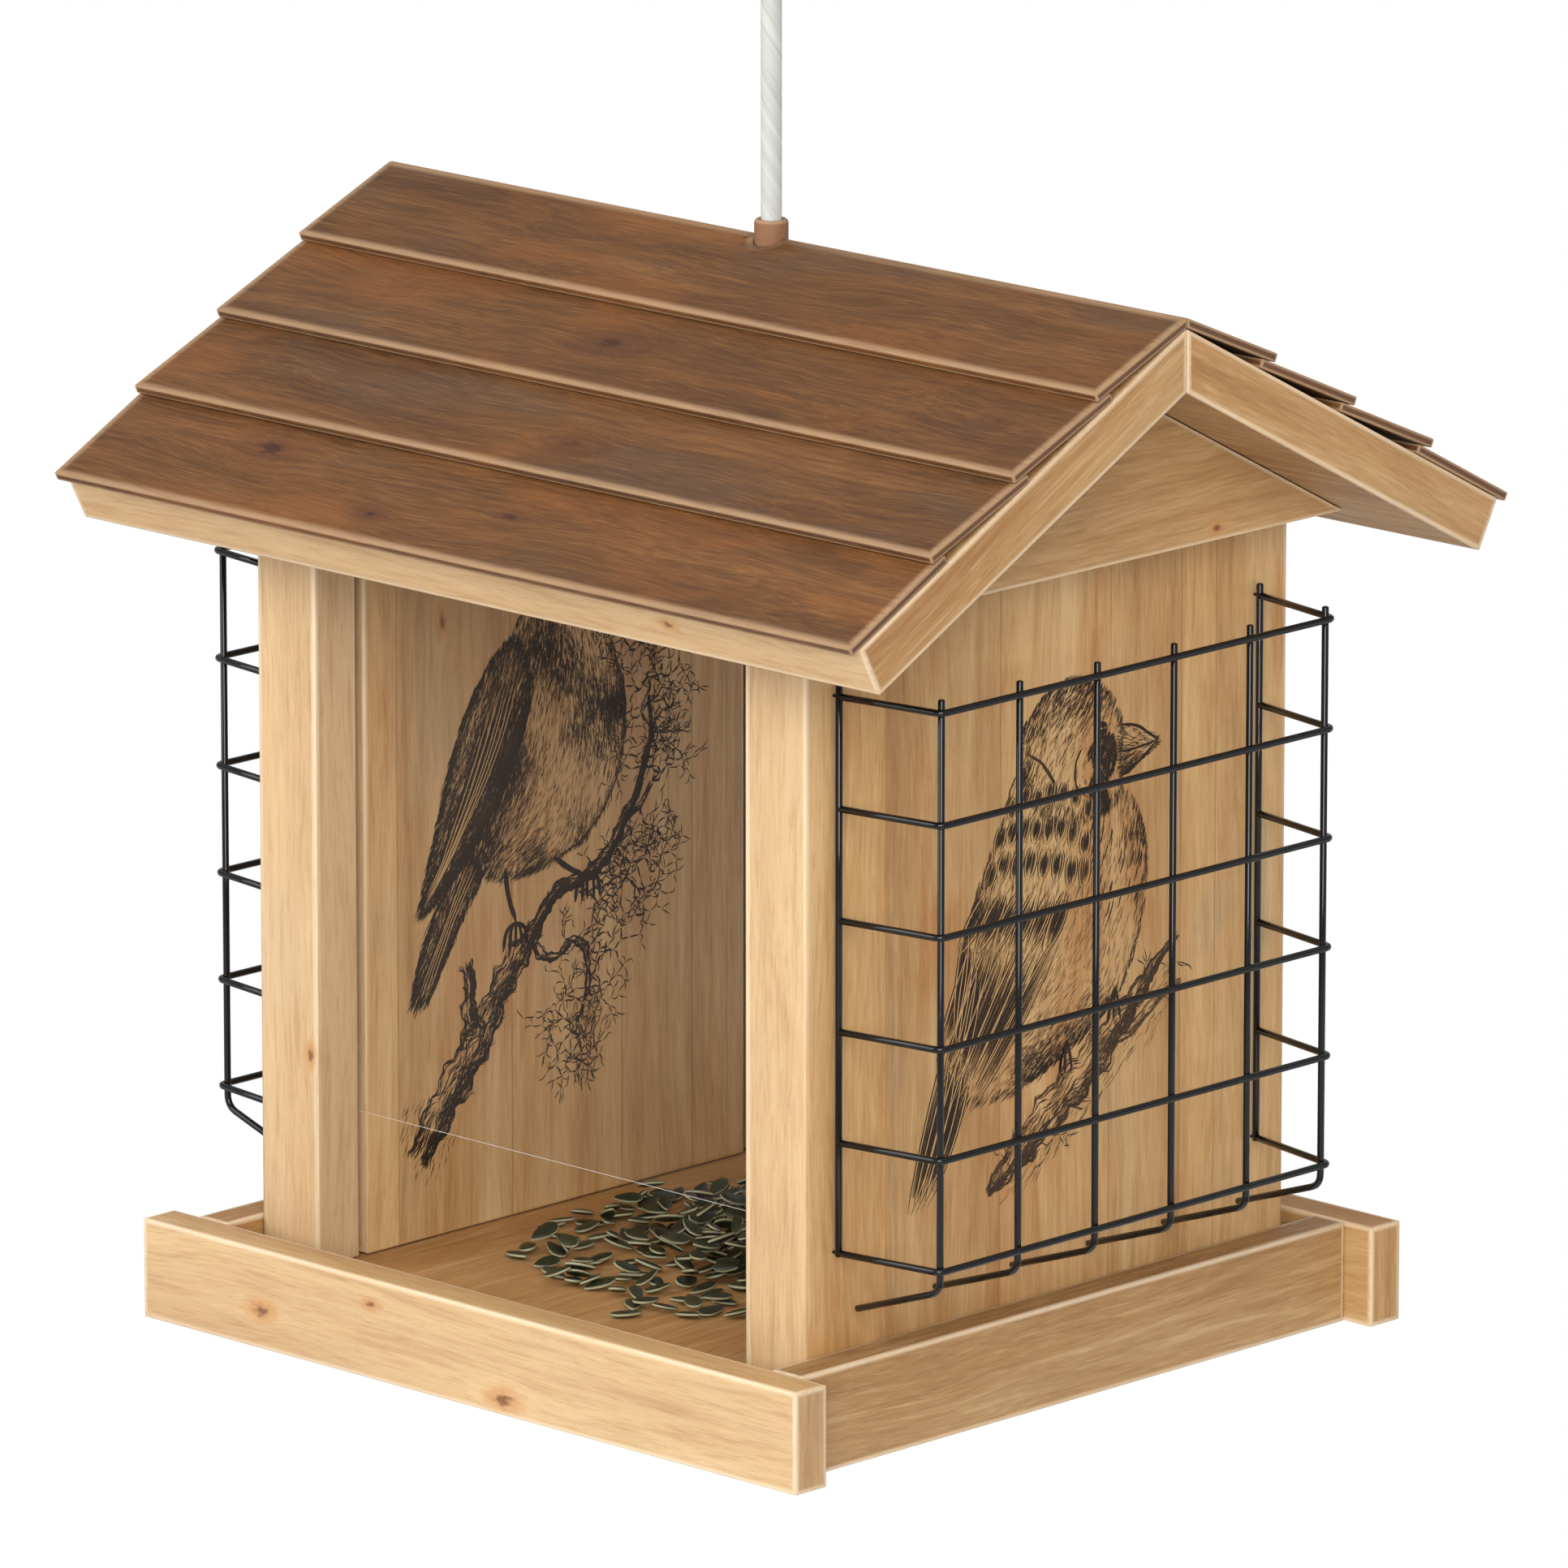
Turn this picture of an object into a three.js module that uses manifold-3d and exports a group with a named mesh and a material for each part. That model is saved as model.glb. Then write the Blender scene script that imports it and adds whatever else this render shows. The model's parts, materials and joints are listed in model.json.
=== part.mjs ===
// A hanging bird feeder, in millimetres, +Z up.
//
// A shallow tray carries two thick end walls. A clear window slides in a pair of grooves at the
// front and at the rear, and stops short of the floor so that seed can run out under it. Two
// welded wire baskets for suet cakes hang on the outside of the walls. The roof is one lift-off
// assembly: two mitred boards, two gable boards and eight lapped planks. It slides up the rope,
// which is knotted under a bar between the walls and leaves through a bushing in the ridge.
//
// +X runs along the ridge and -Y is the front. The pieces are modelled upwards from the
// underside of the tray, and the whole group is then lowered so that the origin is the point
// where a hook bears in the loop at the top of the rope.

import * as THREE from 'three';
import { mergeVertices } from 'three/addons/utils/BufferGeometryUtils.js';
import Module from 'manifold-3d';

const wasm = await Module();
wasm.setup();

// ---------------------------------------------------------------- driving dimensions

const GAP = 0.3; // between pieces that touch
const HANG_HEIGHT = 350; // from the underside of the tray to where the hook bears

const RAIL_LENGTH = 208.5; // front and rear rails, which run past the side rails
const RAIL_HEIGHT = 23.5;
const RAIL_THICKNESS = 9.8;
const TRAY_DEPTH = 199.2;
const SIDE_RAIL_THICKNESS = 9.2;
const SIDE_RAIL_OUTER_X = 96.2;
const FLOOR_TOP = 14.2;
const FLOOR_THICKNESS = 12.7;

const WALL_THICKNESS = 18.6;
const WALL_DEPTH = 156.8;
const WALL_TOP = 195.2;
const WALL_OUTER_X = SIDE_RAIL_OUTER_X - SIDE_RAIL_THICKNESS - GAP;
const WALL_INNER_X = WALL_OUTER_X - WALL_THICKNESS;

const WINDOW_THICKNESS = 2;
const WINDOW_BOTTOM = 49;
const GROOVE_DEPTH = 5;
const GROOVE_WIDTH = WINDOW_THICKNESS + 2 * GAP;
const WINDOW_Y = { front_window: -64.3, rear_window: 62.1 };

const ROOF_SLOPE = THREE.MathUtils.degToRad(27.9);
const ROOF_BOARD_THICKNESS = 12.7;
const ROOF_BOARD_WIDTH = 117.4; // from the ridge down to the eave
const ROOF_APEX = 251.3; // where the upper faces of the two boards would meet
const ROOF_LENGTH = 250.8;
const ROOF_SHIFT_X = 2.4; // the roof boards sit a little off the middle of the gable boards
const GABLE_THICKNESS = 12;
const GABLE_BOTTOM = 192.3;

const PLANK_THICKNESS = 2.1;
const PLANK_LOWER_EDGES = [31.1, 61, 90.4, 120.2]; // down the slope from the ridge
const PLANK_LAP = 4.1;
const PLANK_LIFT = 2.85; // of a lapped plank's lower edge, off the roof board
const PLANK_GAP = 0.2;

const ROPE_RADIUS = 2.4;
const ROPE_TOP = 312;
const ROPE_SIDES = 10;
const ROPE_STEPS = 12; // along its length
const BUSHING_RADIUS = 3.9;
const BUSHING_BORE_RADIUS = 2.75;
const BUSHING_LIP = 0.6;
const BUSHING_SIDES = 24;
const BUSHING_TOP = 257.8;
const BUSHING_BOTTOM = 237.4;
const HANGER_BAR_RADIUS = 6;
const HANGER_BAR_Z = 180;
const HANGER_BAR_SIDES = 20;
const HANGER_SEAT_DEPTH = 4.5;
const KNOT_RADIUS = 7;
const KNOT_FOOT_RADIUS = 4.2;
const KNOT_CROWN_RADIUS = 5.6;
const KNOT_HEIGHT = 12;
const KNOT_SHOULDER = 3;
const KNOT_SIDES = 14;
const LOOP_HALF_WIDTH = 10.5;
const LOOP_STEPS = 16;
// How far out and how high one side of the loop is at five points, as shares of its half width
// and of its height. The first two stand over the knot, with their own distance from the middle.
const LOOP_SHAPE = [[null, 0], [null, 0.06], [0.66, 0.28], [1, 0.58], [0.78, 0.86]];

const WIRE_RADIUS = 0.8;
const WIRE_SIDES = 6;
const WELD = 1.3; // between the centres of two wires welded across each other
const BASKET_X = 114.5; // centres of the upright wires of the basket's outer face
const BASKET_FRONT_Y = -64.4;
const BASKET_COLUMNS = 6;
const BASKET_COLUMN_STEP = 25.04;
const BASKET_TOP_ROW = 173.5;
const BASKET_ROWS = 6;
const BASKET_ROW_STEP = 25.4;
const BASKET_TIP_Z = 176.3;
const BASKET_WALL_WIRE_X = 88.4;
const BASKET_WALL_WIRE_Y = [-69.6, 67.6];
const BASKET_TURN_Z = 41.5; // where an upright wire turns in to make the basket's bottom
const BASKET_BOTTOM_END = { x: 89, z: 32.8 };
const BASKET_CORNER_RADIUS = 2;
const BASKET_PIN_LENGTH = 6; // of a row's end, in the wall
const BASKET_WALL_WIRE_TAIL = 2; // of a wall wire, below the lowest row
const LEFT_BASKET_SHIFT = { y: 1.7, z: -0.4 };

const SCREW_RADIUS = 1.7;
const SCREW_HEAD_RADIUS = 3.4;
const SCREW_HEAD_HEIGHT = 2.2;
const SCREW_LENGTH = 26;
const SCREW_SIDES = 12;
const SCREW_Y = 45;

const SEED_PILE_RADIUS = 57;
const SEED_PILE_HEIGHT = 7;
const SEED_PILE_EDGE = 1; // its height at the rim
const SEED_PILE_CURVE = 1.5;
const SEED_PILE_RINGS = 5;
const SEED_PILE_SIDES = 28;

const OVERCUT = 1; // of a groove or hole, past the face that it opens in
const DRILL_REACH = 10; // past each side of a piece that is drilled through
const HOLE_SIDES = 16;
const PIN_HOLE_SIDES = 8;

// ---------------------------------------------------------------- materials

function finish(color, roughness, metalness = 0) {
  return new THREE.MeshStandardMaterial({ color, roughness, metalness });
}

const lightWood = finish(0xdcb27a, 0.6);
const stainedWood = finish(0x7b5038, 0.55);
const blackWire = finish(0x1d1d1f, 0.35, 0.5);
const ropeFibre = finish(0xd9d9d3, 0.85);
const zincSteel = finish(0xa8a9a8, 0.35, 0.9);
const seedHull = finish(0x53553e, 0.6);
const clearAcrylic = finish(0xf2f6f6, 0.05);
clearAcrylic.transparent = true;
clearAcrylic.opacity = 0.25;

// ---------------------------------------------------------------- shapes

// A box between two corners.
function box([x0, y0, z0], [x1, y1, z1]) {
  const geometry = new THREE.BoxGeometry(x1 - x0, y1 - y0, z1 - z0);
  return geometry.translate((x0 + x1) / 2, (y0 + y1) / 2, (z0 + z1) / 2);
}

// An outline of [y, z] points, extruded along X.
function alongX(outline, x0, x1) {
  const shape = new THREE.Shape(outline.map(([y, z]) => new THREE.Vector2(y, z)));
  const geometry = new THREE.ExtrudeGeometry(shape, { depth: x1 - x0, bevelEnabled: false });
  const turn = new THREE.Matrix4().makeBasis(
    new THREE.Vector3(0, 1, 0),
    new THREE.Vector3(0, 0, 1),
    new THREE.Vector3(1, 0, 0),
  );
  return geometry.applyMatrix4(turn).translate(x0, 0, 0);
}

// A cylinder about Z between two heights.
function post(radius, z0, z1, sides) {
  const geometry = new THREE.CylinderGeometry(radius, radius, z1 - z0, sides);
  return geometry.rotateX(Math.PI / 2).translate(0, 0, (z0 + z1) / 2);
}

// A cylinder along X at (y, z).
function rod(radius, x0, x1, sides, y, z) {
  const geometry = new THREE.CylinderGeometry(radius, radius, x1 - x0, sides);
  return geometry.rotateZ(Math.PI / 2).translate((x0 + x1) / 2, y, z);
}

// A turned shape about Z from [radius, z] points.
function turned(profile, sides) {
  const points = profile.map(([r, z]) => new THREE.Vector2(r, z));
  return new THREE.LatheGeometry(points, sides).rotateX(Math.PI / 2);
}

// A path through chosen points, with one section of the sweep at each of them.
class PointPath extends THREE.Curve {
  constructor(points) {
    super();
    this.points = points;
  }

  getPoint(t, target = new THREE.Vector3()) {
    const along = t * (this.points.length - 1);
    const i = Math.min(Math.floor(along), this.points.length - 2);
    return target.lerpVectors(this.points[i], this.points[i + 1], along - i);
  }

  getPointAt(u, target) {
    return this.getPoint(u, target);
  }

  getTangentAt(u, target = new THREE.Vector3()) {
    const last = this.points.length - 1;
    const i = Math.round(u * last);
    const behind = this.points[Math.max(i - 1, 0)];
    const ahead = this.points[Math.min(i + 1, last)];
    const here = this.points[i];
    const into = here.clone().sub(behind).normalize();
    const out = ahead.clone().sub(here).normalize();
    return target.copy(into.add(out)).normalize();
  }
}

// A tube of a regular section, swept through points.
function sweep(points, radius, sides) {
  const ring = Array.from({ length: sides }, (_, i) => {
    const angle = ((i + 0.5) / sides) * 2 * Math.PI;
    return new THREE.Vector2(radius * Math.cos(angle), radius * Math.sin(angle));
  });
  const options = { steps: points.length - 1, extrudePath: new PointPath(points), bevelEnabled: false };
  return new THREE.ExtrudeGeometry(new THREE.Shape(ring), options);
}

// Points [x, y, z] as a wire bent round its inner points with a fixed radius.
function bentWire(corners, bendRadius, bendSteps = 2) {
  const vectors = corners.map((corner) => new THREE.Vector3(...corner));
  const points = [vectors[0]];
  for (let i = 1; i < vectors.length - 1; i++) {
    const into = vectors[i - 1].clone().sub(vectors[i]).normalize();
    const out = vectors[i + 1].clone().sub(vectors[i]).normalize();
    const setback = bendRadius / Math.tan(into.angleTo(out) / 2);
    const start = vectors[i].clone().addScaledVector(into, setback);
    const end = vectors[i].clone().addScaledVector(out, setback);
    const bend = new THREE.QuadraticBezierCurve3(start, vectors[i], end);
    points.push(...bend.getPoints(bendSteps));
  }
  points.push(vectors[vectors.length - 1]);
  return points;
}

// ---------------------------------------------------------------- joining and cutting

function toSolid(geometry) {
  const bare = geometry.index ? geometry.toNonIndexed() : geometry.clone();
  bare.deleteAttribute('normal');
  bare.deleteAttribute('uv');
  const merged = mergeVertices(bare, 1e-4);
  return new wasm.Manifold(
    new wasm.Mesh({
      numProp: 3,
      vertProperties: new Float32Array(merged.attributes.position.array),
      triVerts: new Uint32Array(merged.index.array),
    }),
  );
}

function toGeometry(solid) {
  const mesh = solid.getMesh();
  const positions = new Float32Array(mesh.vertProperties);
  const geometry = new THREE.BufferGeometry();
  geometry.setAttribute('position', new THREE.BufferAttribute(positions, 3));
  geometry.setIndex(new THREE.BufferAttribute(new Uint32Array(mesh.triVerts), 1));
  geometry.computeVertexNormals();
  return geometry;
}

function cut(geometry, tools) {
  return toGeometry(tools.reduce((solid, tool) => solid.subtract(toSolid(tool)), toSolid(geometry)));
}

function join(geometries) {
  const [first, ...others] = geometries.map(toSolid);
  return toGeometry(others.reduce((solid, next) => solid.add(next), first));
}

// ---------------------------------------------------------------- the feeder

const feeder = new THREE.Group();
feeder.position.z = -HANG_HEIGHT;

function add(name, geometry, material) {
  const mesh = new THREE.Mesh(geometry, material);
  mesh.name = name;
  feeder.add(mesh);
}

const screwPlaces = [-1, 1].flatMap((side) =>
  [-1, 1].map((end) => [side * (WALL_OUTER_X - WALL_THICKNESS / 2), end * SCREW_Y]),
);

function addTray() {
  const outerY = TRAY_DEPTH / 2;
  const innerY = outerY - RAIL_THICKNESS;
  const innerX = SIDE_RAIL_OUTER_X - SIDE_RAIL_THICKNESS;
  const endY = innerY - GAP;
  const floorX = innerX - GAP;
  const floorBottom = FLOOR_TOP - FLOOR_THICKNESS;

  const railX = RAIL_LENGTH / 2;
  add('front_tray_rail', box([-railX, -outerY, 0], [railX, -innerY, RAIL_HEIGHT]), lightWood);
  add('rear_tray_rail', box([-railX, innerY, 0], [railX, outerY, RAIL_HEIGHT]), lightWood);
  add('left_tray_rail', box([-SIDE_RAIL_OUTER_X, -endY, 0], [-innerX, endY, RAIL_HEIGHT]), lightWood);
  add('right_tray_rail', box([innerX, -endY, 0], [SIDE_RAIL_OUTER_X, endY, RAIL_HEIGHT]), lightWood);

  const holes = screwPlaces.map(([x, y]) => screw(x, y, GAP));
  add('floor_board', cut(box([-floorX, -endY, floorBottom], [floorX, endY, FLOOR_TOP]), holes), lightWood);
}

// A countersunk wood screw that points up from the underside of the floor. With an allowance it is
// the hole that the screw goes in, open below the head.
function screw(x, y, allowance = 0) {
  const headBottom = FLOOR_TOP - FLOOR_THICKNESS + GAP;
  const top = headBottom + SCREW_LENGTH + allowance;
  const profile = [
    [SCREW_HEAD_RADIUS + allowance, headBottom],
    [SCREW_RADIUS + allowance, headBottom + SCREW_HEAD_HEIGHT],
    [SCREW_RADIUS + allowance, top - SCREW_RADIUS],
    [0, top],
  ];
  const open = headBottom - OVERCUT;
  if (allowance > 0) profile.unshift([0, open], [SCREW_HEAD_RADIUS + allowance, open]);
  else profile.unshift([0, headBottom]);
  return turned(profile, SCREW_SIDES).translate(x, y, 0);
}

function addScrews() {
  screwPlaces.forEach(([x, y], i) => add(`floor_screw_${i + 1}`, screw(x, y), zincSteel));
}

// An end wall: grooves for both windows, a seat for the hanger bar, pilot holes for the floor
// screws and blind holes for the pins of its basket.
function wall(side, basketShift) {
  const bottom = FLOOR_TOP + GAP;
  const across = (from, to) => [side * from, side * to].sort((a, b) => a - b);
  const [inner, outer] = across(WALL_INNER_X, WALL_OUTER_X);
  const body = box([inner, -WALL_DEPTH / 2, bottom], [outer, WALL_DEPTH / 2, WALL_TOP]);

  const [g0, g1] = across(WALL_INNER_X - OVERCUT, WALL_INNER_X + GROOVE_DEPTH);
  const grooves = Object.values(WINDOW_Y).map((y) => {
    const low = [g0, y - GROOVE_WIDTH / 2, bottom - OVERCUT];
    return box(low, [g1, y + GROOVE_WIDTH / 2, WALL_TOP + OVERCUT]);
  });
  const [s0, s1] = across(WALL_INNER_X - OVERCUT, WALL_INNER_X + HANGER_SEAT_DEPTH + GAP);
  const seat = rod(HANGER_BAR_RADIUS + GAP, s0, s1, HANGER_BAR_SIDES, 0, HANGER_BAR_Z);
  const pilots = screwPlaces.filter(([x]) => x * side > 0).map(([x, y]) => screw(x, y, GAP));
  const [p0, p1] = across(WALL_OUTER_X - BASKET_PIN_LENGTH - GAP, WALL_OUTER_X + OVERCUT);
  const pins = [0, BASKET_ROWS - 1].flatMap((row) => {
    const z = BASKET_TOP_ROW - row * BASKET_ROW_STEP + basketShift.z;
    return BASKET_WALL_WIRE_Y.map((y) =>
      rod(WIRE_RADIUS + GAP, p0, p1, PIN_HOLE_SIDES, y + basketShift.y, z),
    );
  });
  return cut(body, [...grooves, seat, ...pilots, ...pins]);
}

function addWindows() {
  const halfLength = WALL_INNER_X + GROOVE_DEPTH - GAP;
  for (const [name, y] of Object.entries(WINDOW_Y)) {
    const low = [-halfLength, y - WINDOW_THICKNESS / 2, WINDOW_BOTTOM];
    const high = [halfLength, y + WINDOW_THICKNESS / 2, WALL_TOP];
    add(name, box(low, high), clearAcrylic);
  }
}

// ---------------------------------------------------------------- roof

// A point of a roof slope as [y, z]: down the slope from the ridge, and off the board's upper face.
function slopePoint(side, down, off) {
  const y = down * Math.cos(ROOF_SLOPE) + off * Math.sin(ROOF_SLOPE);
  return [side * y, ROOF_APEX - down * Math.sin(ROOF_SLOPE) + off * Math.cos(ROOF_SLOPE)];
}

// Where the line from a through b stands at a distance y from the ridge's middle plane.
function atY([ay, az], [by, bz], y) {
  return [y, az + ((bz - az) * (y - ay)) / (by - ay)];
}

function roofBoardOutline(side) {
  const eaveTop = slopePoint(side, ROOF_BOARD_WIDTH, 0);
  const eaveBottom = slopePoint(side, ROOF_BOARD_WIDTH, -ROOF_BOARD_THICKNESS);
  const mitre = (side * GAP) / 2;
  return [
    atY(slopePoint(side, 0, 0), eaveTop, mitre),
    eaveTop,
    eaveBottom,
    atY(slopePoint(side, 0, -ROOF_BOARD_THICKNESS), eaveBottom, mitre),
  ];
}

// A lapped plank lies with its upper edge on the roof board and its lower edge on the next plank.
// The lowest one lies flat, and the highest one is mitred at the ridge.
function plankOutline(side, number) {
  const isLowest = number === PLANK_LOWER_EDGES.length;
  const upperEdge = number === 1 ? 0 : PLANK_LOWER_EDGES[number - 2] - PLANK_LAP;
  const a = slopePoint(side, upperEdge, PLANK_GAP);
  const b = slopePoint(side, PLANK_LOWER_EDGES[number - 1], isLowest ? PLANK_GAP : PLANK_LIFT);
  const [dy, dz] = [b[0] - a[0], b[1] - a[1]];
  const rise = (side * PLANK_THICKNESS) / Math.hypot(dy, dz);
  const aTop = [a[0] - dz * rise, a[1] + dy * rise];
  const bTop = [b[0] - dz * rise, b[1] + dy * rise];
  if (number > 1) return [a, b, bTop, aTop];
  const mitre = (side * PLANK_GAP) / 2;
  return [atY(a, b, mitre), b, bTop, atY(aTop, bTop, mitre)];
}

function addRoof() {
  const x0 = ROOF_SHIFT_X - ROOF_LENGTH / 2;
  const x1 = ROOF_SHIFT_X + ROOF_LENGTH / 2;
  const holeBottom = BUSHING_BOTTOM - DRILL_REACH;
  const ridgeHole = post(BUSHING_RADIUS + GAP, holeBottom, BUSHING_TOP, BUSHING_SIDES);
  for (const [place, side] of [['front', -1], ['rear', 1]]) {
    add(`${place}_roof_board`, cut(alongX(roofBoardOutline(side), x0, x1), [ridgeHole]), lightWood);
    for (let number = 1; number <= PLANK_LOWER_EDGES.length; number++) {
      const plank = alongX(plankOutline(side, number), x0, x1);
      add(`${place}_plank_${number}`, number === 1 ? cut(plank, [ridgeHole]) : plank, stainedWood);
    }
  }

  const soffitApex = ROOF_APEX - (ROOF_BOARD_THICKNESS + GAP) / Math.cos(ROOF_SLOPE);
  const gableHalfWidth = (soffitApex - GABLE_BOTTOM) / Math.tan(ROOF_SLOPE);
  const gable = [[-gableHalfWidth, GABLE_BOTTOM], [gableHalfWidth, GABLE_BOTTOM], [0, soffitApex]];
  const gableInner = WALL_OUTER_X + GAP;
  add('left_gable_board', alongX(gable, -gableInner - GABLE_THICKNESS, -gableInner), lightWood);
  add('right_gable_board', alongX(gable, gableInner, gableInner + GABLE_THICKNESS), lightWood);

  const bushing = [
    [BUSHING_BORE_RADIUS, BUSHING_BOTTOM],
    [BUSHING_RADIUS, BUSHING_BOTTOM],
    [BUSHING_RADIUS, BUSHING_TOP - BUSHING_LIP],
    [BUSHING_RADIUS - BUSHING_LIP, BUSHING_TOP],
    [BUSHING_BORE_RADIUS, BUSHING_TOP],
    [BUSHING_BORE_RADIUS, BUSHING_BOTTOM],
  ];
  add('ridge_bushing', turned(bushing, BUSHING_SIDES), stainedWood);
}

// ---------------------------------------------------------------- rope

// A knot as a plain barrel about Z, upwards from a height.
function knot(bottom) {
  const top = bottom + KNOT_HEIGHT;
  const profile = [
    [0, bottom],
    [KNOT_FOOT_RADIUS, bottom],
    [KNOT_RADIUS, bottom + KNOT_SHOULDER],
    [KNOT_RADIUS, top - KNOT_SHOULDER],
    [KNOT_CROWN_RADIUS, top],
    [0, top],
  ];
  return turned(profile, KNOT_SIDES);
}

function addRope() {
  const barHalfLength = WALL_INNER_X + HANGER_SEAT_DEPTH;
  const barBottom = HANGER_BAR_Z - HANGER_BAR_RADIUS;
  const barTop = HANGER_BAR_Z + HANGER_BAR_RADIUS;
  const [x0, x1] = [-barHalfLength, barHalfLength];
  const bar = rod(HANGER_BAR_RADIUS, x0, x1, HANGER_BAR_SIDES, 0, HANGER_BAR_Z);
  const holeEnds = [barBottom - DRILL_REACH, barTop + DRILL_REACH];
  const barHole = post(BUSHING_BORE_RADIUS, ...holeEnds, HOLE_SIDES);
  add('hanger_bar', cut(bar, [barHole]), lightWood);

  // The rope is pulled straight, from the knot under the bar to the knot below the loop.
  const ropeBottom = barBottom - GAP;
  const ropeEnds = [ropeBottom, ROPE_TOP].map((z) => new THREE.Vector3(0, 0, z));
  const route = new THREE.LineCurve3(...ropeEnds);
  add('rope', sweep(route.getPoints(ROPE_STEPS), ROPE_RADIUS, ROPE_SIDES), ropeFibre);
  add('rope_stopper_knot', knot(ropeBottom - GAP - KNOT_HEIGHT), ropeFibre);
  add('rope_top_knot', knot(ROPE_TOP + GAP), ropeFibre);

  // The loop leaves the knot and comes back to it straight up and down, side by side.
  const loopFoot = ROPE_TOP + KNOT_HEIGHT + 2 * GAP;
  const loopTop = HANG_HEIGHT + ROPE_RADIUS;
  const legX = ROPE_RADIUS + GAP;
  const height = loopTop - loopFoot;
  const crown = new THREE.Vector3(0, 0, loopTop);
  const rising = LOOP_SHAPE.map(([share, rise]) => {
    const x = share === null ? legX : share * LOOP_HALF_WIDTH;
    return new THREE.Vector3(x, 0, loopFoot + rise * height);
  });
  const falling = rising.map(({ x, z }) => new THREE.Vector3(-x, 0, z)).reverse();
  const round = new THREE.CatmullRomCurve3([...rising.slice(1), crown, ...falling.slice(0, -1)]);
  const loop = [rising[0], ...round.getPoints(LOOP_STEPS), falling[falling.length - 1]];
  add('rope_top_loop', sweep(loop, ROPE_RADIUS, ROPE_SIDES), ropeFibre);
}

// ---------------------------------------------------------------- suet baskets

// A basket on the right wall: rows of wire bent to a U round the upright wires, two upright wires
// against the wall, and uprights that turn in at the foot to make a sloping bottom. The ends of
// the highest and lowest rows are pinned into the wall.
function basket(shift) {
  const firstY = BASKET_FRONT_Y + shift.y;
  const lastY = firstY + (BASKET_COLUMNS - 1) * BASKET_COLUMN_STEP;
  const [wallFrontY, wallRearY] = BASKET_WALL_WIRE_Y.map((y) => y + shift.y);
  const wires = [];

  for (let row = 0; row < BASKET_ROWS; row++) {
    const z = BASKET_TOP_ROW - row * BASKET_ROW_STEP + shift.z;
    const outerX = BASKET_X + WELD;
    const corners = [
      [BASKET_WALL_WIRE_X, wallFrontY, z],
      [outerX, firstY - WELD, z],
      [outerX, lastY + WELD, z],
      [BASKET_WALL_WIRE_X, wallRearY, z],
    ];
    wires.push(bentWire(corners, BASKET_CORNER_RADIUS));
    if (row % (BASKET_ROWS - 1) === 0) {
      for (const y of [wallFrontY, wallRearY]) {
        const pin = [[BASKET_WALL_WIRE_X, y, z], [WALL_OUTER_X - BASKET_PIN_LENGTH, y, z]];
        wires.push(bentWire(pin, BASKET_CORNER_RADIUS));
      }
    }
  }

  for (let column = 0; column < BASKET_COLUMNS; column++) {
    const y = firstY + column * BASKET_COLUMN_STEP;
    const corners = [
      [BASKET_X, y, BASKET_TIP_Z + shift.z],
      [BASKET_X, y, BASKET_TURN_Z + shift.z],
      [BASKET_BOTTOM_END.x, y, BASKET_BOTTOM_END.z + shift.z],
    ];
    wires.push(bentWire(corners, BASKET_CORNER_RADIUS * 2, 3));
  }

  const lowestRow = BASKET_TOP_ROW - (BASKET_ROWS - 1) * BASKET_ROW_STEP + shift.z;
  for (const y of [wallFrontY, wallRearY]) {
    const ends = [
      [BASKET_WALL_WIRE_X, y, BASKET_TIP_Z + shift.z],
      [BASKET_WALL_WIRE_X, y, lowestRow - BASKET_WALL_WIRE_TAIL],
    ];
    wires.push(bentWire(ends, BASKET_CORNER_RADIUS));
  }
  return join(wires.map((points) => sweep(points, WIRE_RADIUS, WIRE_SIDES)));
}

// The same shape on the other side of the YZ plane, with its faces turned to point out again.
function mirroredX(geometry) {
  const mirrored = geometry.clone().scale(-1, 1, 1);
  const index = mirrored.index.array;
  for (let i = 0; i < index.length; i += 3) [index[i], index[i + 1]] = [index[i + 1], index[i]];
  mirrored.computeVertexNormals();
  return mirrored;
}

// ---------------------------------------------------------------- seed

function addSeedPile() {
  const base = FLOOR_TOP + GAP;
  const profile = [[0, base], [SEED_PILE_RADIUS, base]];
  for (let i = 0; i <= SEED_PILE_RINGS; i++) {
    const t = i / SEED_PILE_RINGS;
    const swell = Math.sin((t * Math.PI) / 2) ** SEED_PILE_CURVE;
    const height = SEED_PILE_EDGE + (SEED_PILE_HEIGHT - SEED_PILE_EDGE) * swell;
    profile.push([SEED_PILE_RADIUS * (1 - t), base + height]);
  }
  add('seed_pile', turned(profile, SEED_PILE_SIDES), seedHull);
}

// ---------------------------------------------------------------- assembly

const NO_SHIFT = { y: 0, z: 0 };

addTray();
addScrews();
add('left_wall', wall(-1, LEFT_BASKET_SHIFT), lightWood);
add('right_wall', wall(1, NO_SHIFT), lightWood);
addWindows();
addRoof();
addRope();
add('left_suet_basket', mirroredX(basket(LEFT_BASKET_SHIFT)), blackWire);
add('right_suet_basket', basket(NO_SHIFT), blackWire);
addSeedPile();

export default feeder;
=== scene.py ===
import json
import math

import bmesh
import bpy
import numpy as np
from mathutils import Matrix, Vector

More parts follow.
